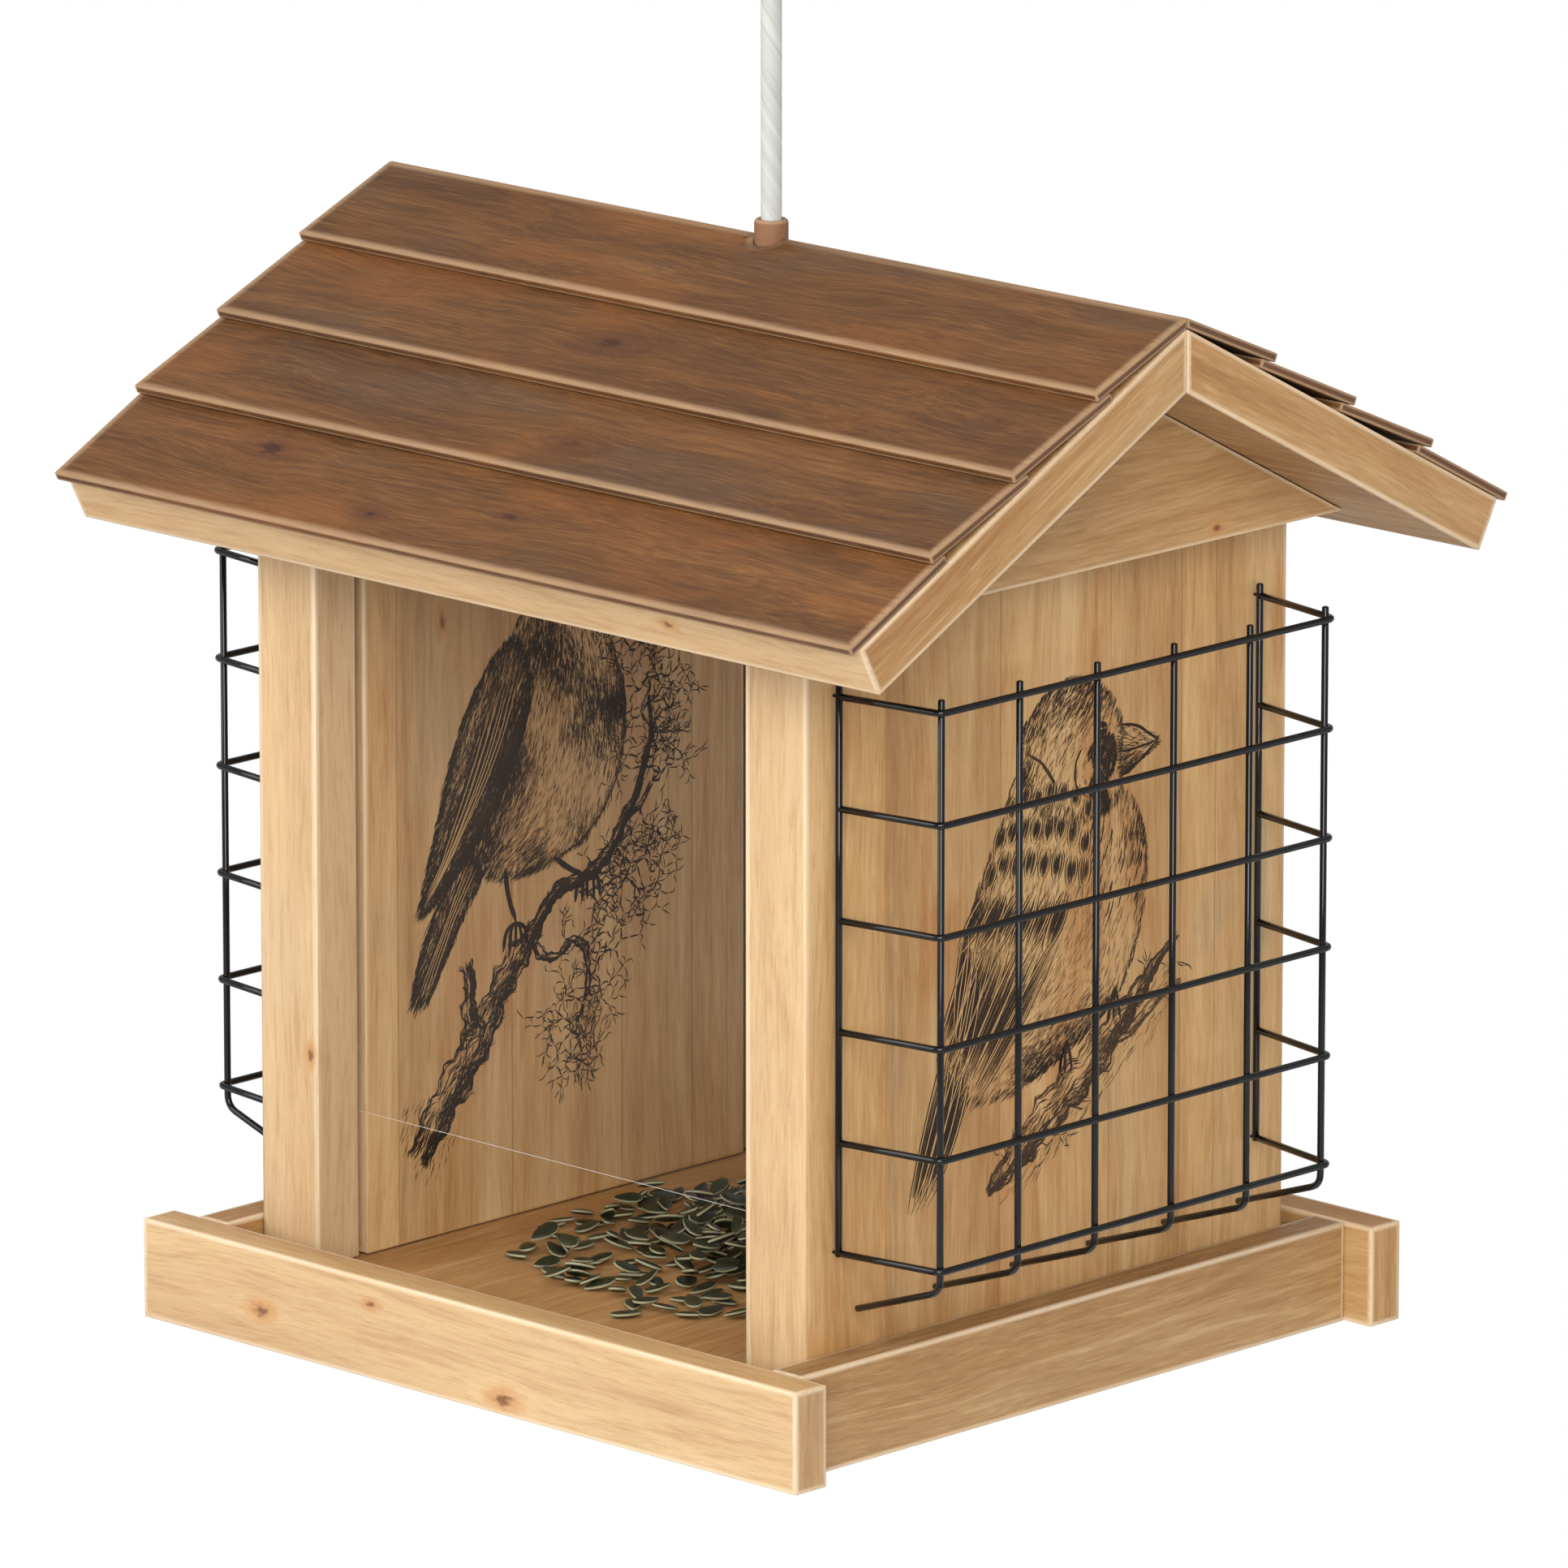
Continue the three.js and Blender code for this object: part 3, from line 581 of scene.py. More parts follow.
def sweep(points):
    """Each point of a path with its two sideways directions, carried along without twisting."""
    previous = (points[1] - points[0]).normalized()
    normal = previous.orthogonal().normalized()
    for i, point in enumerate(points):
        direction = (points[min(i + 1, len(points) - 1)] - points[max(i - 1, 0)]).normalized()
        normal = previous.rotation_difference(direction) @ normal
        normal = (normal - direction * normal.dot(direction)).normalized()
        previous = direction
        yield point, normal, direction.cross(normal)


def quads(rings):
    """The faces between rings of corners, any of which may be a single corner."""
    for a, b in zip(rings, rings[1:]):
        for k in range(max(len(a), len(b))):
            quad = (a[k % len(a)], a[(k + 1) % len(a)], b[(k + 1) % len(b)], b[k % len(b)])
            corners = list(dict.fromkeys(quad))
            if len(corners) > 2:
                yield corners


def skin(bm, rings, capped=True):
    for corners in quads(rings):
        bm.faces.new(corners).smooth = True
    if capped:
        bm.faces.new(rings[0][::-1])
        bm.faces.new(rings[-1])


def tube(bm, points, radius, sides, cap=0.3):
    """A closed round tube along points, with its two ends slightly eased."""
    points = [Vector(p) for p in points]
    ease = radius * cap
    first = points[0] + (points[1] - points[0]).normalized() * ease
    last = points[-1] - (points[-1] - points[-2]).normalized() * ease
    points = [points[0], first, *points[1:-1], last, points[-1]]
    reaches = [radius - ease, *[radius] * (len(points) - 2), radius - ease]
    rings = []
    for (point, normal, other), reach in zip(sweep(points), reaches):
        outward = [normal * math.cos(a) + other * math.sin(a) for a in circle(sides)]
        rings.append([bm.verts.new(point + out * reach) for out in outward])
    skin(bm, rings)


def bend(corners, radius, steps):
    """Points in millimetres joined by straight runs, with the inner corners rounded."""
    corners = [Vector(c) for c in corners]
    points = [corners[0]]
    for before, corner, after in zip(corners, corners[1:], corners[2:]):
        into, out = (before - corner).normalized(), (after - corner).normalized()
        setback = radius / math.tan(into.angle(out) / 2)
        start, end = corner + into * setback, corner + out * setback
        for t in np.arange(steps + 1) / steps:
            points.append(start * (1 - t) ** 2 + corner * 2 * t * (1 - t) + end * t * t)
    points.append(corners[-1])
    return [at(*p) for p in points]


def build_basket(side, node, shift_y, shift_z, material):
    """A welded basket whose four wall pins are thinner than its wires."""
    bm = bmesh.new()

    def wire(corners, bend_radius=1.0, steps=5, thickness=1.0):
        corners = [(side * x, y + shift_y, z + shift_z) for x, y, z in corners]
        tube(bm, bend(corners, bend_radius, steps), WIRE_RADIUS * thickness * MM, 12)

    rows = [ROW_TOP - row * ROW_STEP for row in range(CELLS + 1)]
    columns = [BASKET_Y + column * COLUMN_STEP for column in range(CELLS + 1)]
    x, near, far = BASKET_X + WELD, columns[0] - WELD, columns[-1] + WELD
    for z in rows:
        first, last = ((BACK_WIRE_X, y, z) for y in BACK_WIRE_Y)
        wire([first, (x, near, z), (x, far, z), last], 2.2)
        if z in (rows[0], rows[-1]):
            for y in BACK_WIRE_Y:
                wire([(BACK_WIRE_X, y, z), (WALL_OUTER_X - PIN_DEPTH, y, z)], thickness=PIN_THICKNESS)
    for y in columns:
        wire([(BASKET_X, y, TIP_Z), *((x, y, z) for x, z in COLUMN_FOOT)], 4.0, 6)
    for y in BACK_WIRE_Y:
        wire([(BACK_WIRE_X, y, TIP_Z), (BACK_WIRE_X, y, rows[-1] - WIRE_RADIUS)])
    show(node, bm, material)


def lathe(bm, profile, sides, centre=(0, 0)):
    """A closed turned shape about Z from [radius, z] points in millimetres."""
    rings = []
    for radius, z in profile:
        turn = circle(sides) if radius else [0]
        rings.append([bm.verts.new(at(centre[0] + radius * math.cos(a), centre[1] + radius * math.sin(a), z))
                      for a in turn])
    skin(bm, rings, capped=False)


def write_grain(bm, offset, wear=None):
    """Grain coordinates along X and wear, for a piece that isn't a board."""
    layer = bm.verts.layers.float_vector.new("grain")
    wear_or_glint_band = bm.verts.layers.float.new("wear")
    for vert in bm.verts:
        vert[layer] = vert.co + Vector(offset)
        vert[wear_or_glint_band] = wear(vert.co) if wear else 0.0


def build_bushing(material):
    bore, outer, top, bottom = BUSHING_BORE, BUSHING_RADIUS, BUSHING_TOP, BUSHING_BOTTOM
    profile = [(bore, bottom), (outer - 0.3, bottom), (outer, bottom + 0.3), (outer, top - 0.9),
               (outer - 0.12, top - 0.4), (outer - 0.45, top - 0.08), (outer - 0.7, top), (bore + 0.25, top),
               (bore, top - 0.25), (bore, bottom)]
    bm = bmesh.new()
    lathe(bm, profile, 56)
    bmesh.ops.remove_doubles(bm, verts=bm.verts, dist=1e-7)
    rim = at(0, 0, top).z
    write_grain(bm, (1.3, 0.4, 2.2), lambda co: 0.75 if rim - co.z < 0.0005 else 0.1)
    show("ridge_bushing", bm, material)


def build_bar(material):
    half = WALL_INNER_X + BAR_SEAT
    bm = bmesh.new()
    tube(bm, [at(x, 0, BAR_Z) for x in (-half, -2.8, 2.8, half)], BAR_RADIUS * MM, 40, 0.12)
    write_grain(bm, (0.2, 1.9, 0.6))
    show("hanger_bar", bm, material)


def screw_place(number):
    """A floor screw's middle, and the heights of its head and its tip."""
    (x0, y0, z0), (x1, y1, z1) = node_box(f"floor_screw_{number}")
    return ((x0 + x1) / 2, (y0 + y1) / 2), z0, z1


def build_screws(material):
    for number in SCREWS:
        centre, head, tip = screw_place(number)
        profile = [(0, head + 1.1), (0.7, head + 1.0), (1.3, head + 0.25), (SHANK_RADIUS, head),
                   (HEAD_RADIUS - 0.2, head), (HEAD_RADIUS, head + 0.15), (SHANK_RADIUS, head + HEAD_HEIGHT)]
        z = head + THREAD_START
        while z < tip - THREAD_END:
            profile += [(THREAD_ROOT, z), (THREAD_CREST, z + THREAD_RISE), (THREAD_ROOT, z + 2 * THREAD_RISE)]
            z += THREAD_STEP
        profile.append((0, tip))
        bm = bmesh.new()
        lathe(bm, profile, 24, centre)
        show(f"floor_screw_{number}", bm, material)


def cut_screw_holes(board):
    """Countersunk holes through the floor board, so that the screws' heads show from below."""
    wide, narrow = HEAD_RADIUS + GAP, SHANK_RADIUS + GAP
    bm = bmesh.new()
    for number in SCREWS:
        centre, head, _ = screw_place(number)
        lathe(bm, [(0, head - 5), (wide, head - 5), (wide, head), (narrow, head + HEAD_HEIGHT),
                   (narrow, FLOOR_TOP + 1), (0, FLOOR_TOP + 1)], 32, centre)
    cutter = link("screw_holes", from_bmesh("screw_holes", bm))
    modifier = board.modifiers.new("screw_holes", "BOOLEAN")
    modifier.operation, modifier.solver, modifier.object = "DIFFERENCE", "EXACT", cutter
    cut = bpy.data.meshes.new_from_object(board.evaluated_get(bpy.context.evaluated_depsgraph_get()))
    cut.set_sharp_from_angle(angle=math.radians(40))
    board.modifiers.remove(modifier)
    board.data = cut
    bpy.data.objects.remove(cutter)


# ---- rope


def rope_section(angle):
    """How far a laid rope's surface stands out, as a share of its radius, round its section."""
    strand = 0.5 + 0.5 * math.cos(ROPE_STRANDS * angle)
    yarn = 0.5 + 0.5 * math.cos(ROPE_YARNS * angle)
    return 0.985 + 0.012 * strand ** 0.6 + 0.004 * yarn


def rope_tube(bm, points, radius, sides):
    """A laid rope along points, whose section turns once in each pitch."""
    lay = bm.verts.layers.float_vector.get("lay") or bm.verts.layers.float_vector.new("lay")
    rings, run, behind = [], 0.0, points[0]
    for point, normal, other in sweep(points):
        run += (point - behind).length
        behind = point
        rings.append([])
        for angle in circle(sides):
            around = angle + 2 * math.pi * run / (ROPE_PITCH * MM)
            out = radius * rope_section(around)
            vert = bm.verts.new(point + (normal * math.cos(angle) + other * math.sin(angle)) * out)
            vert[lay] = Vector((math.cos(around) * radius, math.sin(around) * radius, run))
            rings[-1].append(vert)
    skin(bm, rings)


def knot_path(bottom):
    """A wound knot's rope, which goes round itself while it climbs."""
    for t in np.arange(61) / 60:
        angle = 2 * math.pi * KNOT_TURNS * t
        radius = KNOT_SWELL * (0.82 + 0.18 * math.sin(math.pi * t))
        climb = bottom + ROPE_RADIUS + (KNOT_HEIGHT - 2 * ROPE_RADIUS) * t
        yield at(radius * math.cos(angle), radius * math.sin(angle), climb)


def upright(bottom, top, steps):
    return [at(0, 0, bottom + (top - bottom) * i / steps) for i in range(steps + 1)]


def build_rope(material):
    def piece(node, *runs):
        bm = bmesh.new()
        for path, thickness, sides in runs:
            rope_tube(bm, list(path), ROPE_RADIUS * thickness * MM, sides)
        return show(node, bm, material)

    line = upright(ROPE_BOTTOM, ROPE_TOP, 150)
    rope = piece("rope", (line, 1.0, 48))
    for node, bottom in (
            ("rope_stopper_knot", ROPE_BOTTOM - GAP - KNOT_HEIGHT), ("rope_top_knot", ROPE_TOP + GAP)):
        core = upright(bottom + 0.2, bottom + KNOT_HEIGHT - 0.2, 8)
        piece(node, (knot_path(bottom), 1.0, 24), (core, 0.98, 24))

    foot, top, wide = ROPE_TOP + KNOT_HEIGHT + 2 * GAP, HANG_HEIGHT + ROPE_RADIUS, LOOP_HALF_WIDTH
    half = [(x, 0, foot + share * (top - foot)) for x, share in (
        (2.7, 0.0), (2.7, 0.06), (wide * 0.66, 0.28), (wide, 0.58), (wide * 0.78, 0.86))]
    corners = [*half, (0, 0, top), *((-x, y, z) for x, y, z in reversed(half))]
    piece("rope_top_loop", ([at(*p) for p in spline(corners, 12)], 1.0, 32))


# ---- looks of the other materials


def make_rope_fibre():
    s = Shader("rope_fibre_look")
    lay = s.attribute("lay", "Vector")
    yarn = s.noise(lay, (1900, 1900, 60), 3.0, 0.6)
    strand = s.noise(lay, (700, 700, 28), 2.0, 0.5)
    dirt = s.noise(lay, (120, 120, 60), 3.0, 0.6)
    colour = s.ramp(s.blend(yarn, strand), [
        (0.28, (0.28, 0.28, 0.245)), (0.42, (0.43, 0.435, 0.4)), (0.7, (0.55, 0.555, 0.52))])
    colour = s.tint(colour, (dirt, 0.56, 0.75, 0.35, (0.5, 0.49, 0.41)))
    height = s.math("ADD", s.times(yarn, 0.6), strand)
    return s.finish(colour, 0.8, s.bump(height, 0.5, 0.0003), Sheen_Weight=0.15)


def make_wire():
    s = Shader("black_wire_look")
    orange_peel = s.noise(s.place(), (900, 900, 900), 2.0)
    scuff = s.noise(s.place(), (160, 160, 160), 4.0, 0.7)
    colour = s.ramp(scuff, [
        (0.35, (0.003, 0.003, 0.004)), (0.62, (0.005, 0.005, 0.006)), (0.8, (0.016, 0.015, 0.014))])
    roughness = s.span(scuff, 0.3, 0.8, 0.06, 0.14)
    return s.finish(colour, roughness, s.bump(orange_peel, 0.05, 0.00003), Specular_IOR_Level=0.35)


def make_acrylic():
    s = Shader("clear_acrylic_look")
    haze = s.noise(s.place(), (40, 40, 40), 3.0)
    # Painted highlight: the band along the pane's rim is drawn near-white and almost opaque, for the bright
    # line at its edge.
    rim = s.span(s.attribute("wear"), 0.6, 1.0)
    colour = s.mix(rim, (0.22, 0.21, 0.19), (0.92, 0.92, 0.9))
    alpha = s.math("ADD", s.span(haze, 0.3, 0.7, 0.014, 0.022), s.times(rim, 0.62))
    return s.finish(colour, s.span(haze, 0.3, 0.7, 0.03, 0.08), IOR=1.49, Alpha=alpha)


def make_zinc():
    s = Shader("zinc_look")
    brushed = s.noise(s.place(), (300, 4000, 300), 2.0)
    colour = s.ramp(brushed, [(0.3, (0.42, 0.42, 0.41)), (0.7, (0.62, 0.62, 0.6))])
    return s.finish(colour, s.span(brushed, 0.3, 0.7, 0.28, 0.42), Metallic=1.0)


def make_seed():
    s = Shader("seed_look")
    grain = s.noise(s.place(), (700, 700, 700), 3.0, 0.6)
    colour = s.ramp(s.blend(grain, s.attribute("shade")), [
        (0.15, (0.01, 0.011, 0.005)), (0.5, (0.021, 0.023, 0.01)), (0.9, (0.042, 0.044, 0.02))])
    colour = s.tint(colour, (s.attribute("rim"), 0.66, 0.92, 0.9, (0.34, 0.32, 0.19)))
    roughness = s.span(grain, 0.3, 0.7, 0.34, 0.5)
    return s.finish(colour, roughness, s.bump(grain, 0.3, 0.0001), Specular_IOR_Level=0.3)


def make_ink():
    s = Shader("burnt_line_look")
    shade = s.attribute("shade")
    speck = s.span(s.noise(s.place(), (2600, 2600, 1500), 3.0, 0.7), 0.42, 0.68, 0.0, 0.6)
    tone = s.math("ADD", s.times(shade, 0.62), s.times(speck, s.math("ADD", 0.15, shade)))
    colour = s.ramp(tone, [(0.0, (0.02, 0.012, 0.008)), (0.25, (0.045, 0.026, 0.015)),
                           (0.6, (0.16, 0.09, 0.042)), (1.0, (0.36, 0.205, 0.085))])
    colour = s.tint(colour, (shade, 1.4, 1.6, 1.0, (0.45, 0.27, 0.115)))
    return s.finish(colour, 0.75, Specular_IOR_Level=0.2)


# ---- seeds


def seed_shape():
    """One seed lying flat: its vertices, its faces, and how much of its pale rim each vertex carries."""
    verts, rim, faces = [], [], []

    def outline(scale, z, mark):
        for a in circle(SEED_SEGMENTS):
            x, y = scale * SEED_LENGTH / 2 * math.cos(a), scale * SEED_WIDTH / 2 * math.sin(a)
            verts.append((x, y * (1 - 0.58 * ((1 + math.cos(a)) / 2) ** 2), z))
            rim.append(mark)
        return list(range(len(verts) - SEED_SEGMENTS, len(verts)))

    half = SEED_THICKNESS / 2
    middle = outline(1.0, 0.0, 1.0)
    for sign in (1, -1):
        rings = [middle] + [outline(scale, sign * height * half, mark) for scale, height, mark in SEED_RINGS]
        verts.append((0, 0, sign * half))
        rim.append(0.0)
        faces += [corners[::sign] for corners in quads([*rings, [len(verts) - 1]])]
    return np.array(verts), faces, np.array(rim)


def drop_seeds(count):
    """Seeds dropped one by one on the floor and on each other: a list of (place, turn matrix).

    The surface is a grid of heights above the floor, which each seed rests on and then raises. The
    first seeds spread over the floor, and the rest heap up behind them.
    """
    random = np.random.RandomState(7)
    cell, half_span, settled = 0.5, 70.0, SEED_THICKNESS * 0.92
    spread_share, heap_share, heap_height, steepest = 0.36, 0.4, 11.0, 0.55
    reach, heap_middle, heap_scale = 58, 16, (0.74, 0.72)
    side, front, rear = WALL_INNER_X - 3.6, -60, 57.5
    size = int(2 * half_span / cell)
    surface = np.zeros((size, size))
    rays = np.array([(f * math.cos(a), f * math.sin(a)) for f in (1.0, 0.55) for a in circle(14)] + [(0, 0)])
    rays = rays * (SEED_LENGTH / 2 * 0.95, SEED_WIDTH / 2 * 0.95)
    disc = np.stack(np.meshgrid(*[np.linspace(-1, 1, 11)] * 2), -1).reshape(-1, 2)
    disc = disc[(disc ** 2).sum(1) <= 1] * (SEED_LENGTH / 2, SEED_WIDTH / 2)

    def cover(foot):
        """Where the points of a seed's foot lie, and their cells."""
        px, py = x + foot[:, 0] * c - foot[:, 1] * s, y + foot[:, 0] * s + foot[:, 1] * c
        return px, py, tuple(np.clip(((p + half_span) / cell).astype(int), 0, size - 1) for p in (py, px))

    placed = []
    for _ in range(count * 12):
        if len(placed) == count:
            break
        share = len(placed) / count
        angle = random.uniform(0, 2 * math.pi)
        radius = reach * math.sqrt(random.uniform(0, 1)) * random.uniform(0.86, 1.06)
        x, y = radius * math.cos(angle), radius * math.sin(angle)
        if share > heap_share:
            x, y = heap_middle + x * heap_scale[0], heap_middle + y * heap_scale[1]
        if abs(x) > side or y < front or y > rear:
            continue
        heading = random.uniform(0, 2 * math.pi)
        c, s = math.cos(heading), math.sin(heading)
        px, py, cells = cover(rays)
        ground = surface[cells]
        if share < spread_share and ground.max() > 0.1 and random.uniform() < 0.82:
            continue
        if ground.max() > heap_height:
            continue
        design = np.column_stack([px - x, py - y, np.ones(len(px))])
        plane = np.linalg.lstsq(design, ground, rcond=None)[0]
        steep = math.hypot(plane[0], plane[1])
        if steep > steepest:
            plane[:2] *= steepest / steep
        plane[:2] += random.normal(0, 0.2, 2)
        plane[2] = (ground - design[:, :2] @ plane[:2]).max()
        up = Vector((-plane[0], -plane[1], 1)).normalized()
        forward = Vector((c, s, 0))
        forward = (forward - up * forward.dot(up)).normalized()
        turn = Matrix((forward, up.cross(forward), up)).transposed()
        placed.append((Vector((x, y, FLOOR_TOP + 0.05 + plane[2] + settled / 2)), turn))
        px, py, cells = cover(disc)
        np.maximum.at(surface, cells, plane[2] + (px - x) * plane[0] + (py - y) * plane[1] + settled)
    return placed


def build_seeds(material, count):
    shape, shape_faces, shape_rim = seed_shape()
    verts, faces, rims, shades = [], [], [], []
    for place, turn in drop_seeds(count):
        points = (shape * RANDOM.uniform(0.86, 1.08)) @ np.array(turn).T + np.array(place)
        RANDOM.choice([-1, 1])  # which side is up doesn't show, but the draw keeps the shades' order
        faces.extend([i + len(verts) for i in face] for face in shape_faces)
        verts.extend(at(*p) for p in points)
        rims.append(shape_rim)
        shades.append(np.full(len(shape), RANDOM.uniform(0, 1)))
    mesh = from_lists("seed_pile", verts, faces, rim=np.concatenate(rims), shade=np.concatenate(shades))
    mesh.shade_smooth()
    show("seed_pile", mesh, material)


# ---- engraved birds

BARE = 2.0  # the shade of a stroke that shows bare wood between dark ones
LINE = 0.3  # the usual width of a stroke
PATCH_EDGE = 47.0  # how far across the wall a twig may start


def within(outline, points):
    """True for each point that lies in a closed outline."""
    x, y = points.T
    found = np.zeros(len(points), bool)
    for (x0, y0), (x1, y1) in zip(outline, np.roll(outline, -1, 0)):
        crosses = (y0 > y) != (y1 > y)
        found ^= crosses & (x < (x1 - x0) * (y - y0) / (y1 - y0 + 1e-12) + x0)
    return found


def to_outline(outline, points):
    """Each point's distance to a closed outline."""
    best = np.full(len(points), 1e9)
    for a, b in zip(outline, np.roll(outline, -1, 0)):
        t = np.clip(((points - a) @ (b - a)) / ((b - a) @ (b - a) + 1e-12), 0, 1)
        best = np.minimum(best, np.linalg.norm(points - a - t[:, None] * (b - a), axis=1))
    return best


def heading_of(degrees):
    return np.array([np.cos(np.radians(degrees)), np.sin(np.radians(degrees))]).T


class Drawing:
    """Burnt strokes on a wall, across and up in millimetres. Shade is 0 for the darkest stroke."""

    def __init__(self, seed):
        self.random = np.random.RandomState(seed)
        self.uniform, self.normal = self.random.uniform, self.random.normal
        self.strokes = []

    def stroke(self, points, width, shade=0.0, ends=0.2):
        points = np.array(points, float)
        along = np.linspace(0, 1, len(points))
        taper = np.clip(np.minimum(along, 1 - along) / ends, 0.15, 1)
        self.strokes.append((points, width * taper, shade))

    def line(self, corners, width=LINE, shade=0.0, wobble=0.12, passes=2):
        """A drawn line: a few passes that don't quite cover each other."""
        for _ in range(passes):
            points = spline(corners, 6) + self.normal(0, wobble, 2)
            points += self.normal(0, wobble * 0.3, points.shape)
            self.stroke(points, width * self.uniform(0.8, 1.15), shade)

    def eye(self, y, z, radii, squash=1.0):
        around = np.linspace(0, 2 * math.pi, 14)
        for radius in radii:
            points = (y, z) + radius * np.column_stack([np.cos(around), squash * np.sin(around)])
            self.stroke(points, 0.7, 0.0, 0.01)

    def foot(self, y, z, spreads, width, shade, wobble, toe):
        """Toes that spread from one place, each through its [share of the spread, height] stations."""
        for spread in spreads:
            self.line([(y + share * spread, z + height) for share, height in toe], width, shade, wobble)

    def hatch(self, outline, density, guides, blobs=(), base=0.1, edge=0.0, edge_width=2.0, length=2.6,
              shade=0.6):
        """Short strokes that follow the nearest guides, closest where the blobs make it dark.

        Density is strokes tried per square millimetre. A guide is [across, up, direction], and a blob
        is [across, up, radius, strength].
        """
        outline = spline(outline, 6, closed=True)
        low, high = outline.min(0), outline.max(0)
        points = self.uniform(low, high, (int(density * np.prod(high - low)), 2))
        points = points[within(outline, points)]
        tone = np.full(len(points), float(base))
        for y, z, radius, strength in blobs:
            tone += strength * np.exp(-((points - (y, z)) ** 2).sum(1) / radius ** 2)
        tone += edge * np.exp(-((to_outline(outline, points) / edge_width) ** 2))
        tone = np.clip(tone, 0, 1)
        keep = self.uniform(size=len(points)) < tone
        points, tone = points[keep], tone[keep]
        guides = np.array(guides, float)
        run = np.array([points])
        for _ in range(3):
            here = run[-1]
            weight = 1 / (((here[:, None] - guides[None, :, :2]) ** 2).sum(2) + 4.0) ** 1.5
            heading = (weight[:, :, None] * guides[None, :, 2:]).sum(1)
            heading /= np.linalg.norm(heading, axis=1)[:, None]
            heading += self.normal(0, 0.16, heading.shape)
            step = length / 3 * self.uniform(0.4, 1.5, len(points))[:, None]
            run = np.concatenate([run, [here + heading * step]])
        for i, dark in enumerate(tone):
            light = shade * (1 - dark) * self.uniform(0.4, 1.3)
            self.stroke(run[:, i], LINE * (0.55 + 0.45 * dark) * self.uniform(0.7, 1.25), light)

    def feather(self, y, z, heading, length, width, turn=0.0, fill=0.6, shade=0.0):
        """One feather: a bare edge, a thin outline and a dark core that fades towards its root."""
        t = np.linspace(0, 1, 10)
        along = heading_of(heading + turn * t)
        line = (y, z) + (np.cumsum(along, 0) - along[0]) * length / 9
        side = np.column_stack([-along[:, 1], along[:, 0]])
        side *= (width / 2 * np.sin(math.pi * np.clip(t * 0.88 + 0.12, 0, 0.985)) ** 0.55)[:, None]
        for sign in (1, -1):
            self.stroke(line + side * sign * 0.84, LINE * 0.9, BARE, 0.12)
            self.stroke(line + side * sign, LINE * 1.1, shade, 0.06)
        core = max(2, int(width * fill / (LINE * 0.6)))
        for u in np.linspace(-fill * 1.1, fill * 1.1, core) + self.normal(0, 0.05, core):
            start, end = self.random.randint(0, 3), self.random.randint(7, 10)
            thick, fade = LINE * self.uniform(0.8, 1.3), 0.5 * abs(u) * self.uniform(0, 1)
            self.stroke((line + side * u)[start:end], thick, shade + fade, 0.3)

    def branch(self, stations, density=5.0, shade=0.0, burr=0.16):
        """Rough bark along a branch of [across, up, half width] stations, darkest on its lower side."""
        stations = spline(stations, 9)
        line, half = stations[:, :2], stations[:, 2]
        tangent = np.gradient(line, axis=0)
        pace = np.linalg.norm(tangent, axis=1)
        tangent /= pace[:, None]
        i = np.arange(len(line))
        phase = self.uniform(0, 6, 2)
        half = half * (1 + burr * np.sin(i * 0.8 + phase[0]) + burr * 0.6 * np.sin(i * 1.9 + phase[1]))
        side = np.column_stack([tangent[:, 1], -tangent[:, 0]]) * half[:, None]
        for sign, width in ((-1, 1.1), (1, 1.7)):
            self.stroke(line + side * sign, LINE * width, shade, 0.02)
        for _ in range(int((2 * half * pace).sum() * density)):
            u = self.uniform(-1, 1)
            dark = 0.22 + 0.6 * (u > 0.1) + 0.18 * (u > 0.5) + 0.4 * (u < -0.75)
            if self.uniform() > dark:
                continue
            k = self.random.randint(0, max(1, len(line) - 5))
            n = min(self.random.randint(3, 7), len(line) - k)
            drift = np.linspace(u, u + self.normal(0, 0.22), n)[:, None]
            light = shade + 0.5 * (1 - min(dark, 1)) * self.uniform(0, 1)
            points = line[k:k + n] + side[k:k + n] * drift + self.normal(0, 0.1, (n, 2))
            self.stroke(points, LINE * self.uniform(0.7, 1.4), light)

    def twig(self, y, z, heading, width, reach, shade=0.0):
        """A crooked twig that forks until it is too fine or leaves its patch."""
        if reach <= 0 or y > PATCH_EDGE:
            return
        points = [np.array([y, z])]
        for _ in range(3):
            heading += self.normal(0, 30)
            points.append(points[-1] + self.uniform(0.6, 1.5) * heading_of(heading))
        self.stroke(points, width, shade, 0.02)
        fork = self.uniform(25, 50)
        for turn in (-fork, fork):
            if self.uniform() < 0.8:
                thin = max(0.3, width * self.uniform(0.78, 0.92))
                self.twig(*points[-1], heading + turn, thin, reach - 1, min(shade + 0.03, 0.2))

    def mesh(self, name, wall_x, lift):
        """Every stroke as a flat tapered ribbon, just off the wall, with the dark ones on top."""
        verts, faces, shades = [], [], []
        for points, widths, shade in self.strokes:
            tangent = np.gradient(points, axis=0)
            tangent /= np.linalg.norm(tangent, axis=1)[:, None] + 1e-9
            side = np.column_stack([-tangent[:, 1], tangent[:, 0]]) * widths[:, None] / 2
            order = 1.8 if shade >= BARE else 1.5 - min(shade, 1.0)
            x = wall_x + lift * (order + self.uniform(0, 0.2))
            start = len(verts)
            for left, right in zip(points + side, points - side):
                verts += [at(x, *left), at(x, *right)]
            faces += [(k, k + 1, k + 3, k + 2) for k in range(start, len(verts) - 2, 2)]
            shades += [shade] * 2 * len(points)
        return from_lists(name, verts, faces, shade=shades)


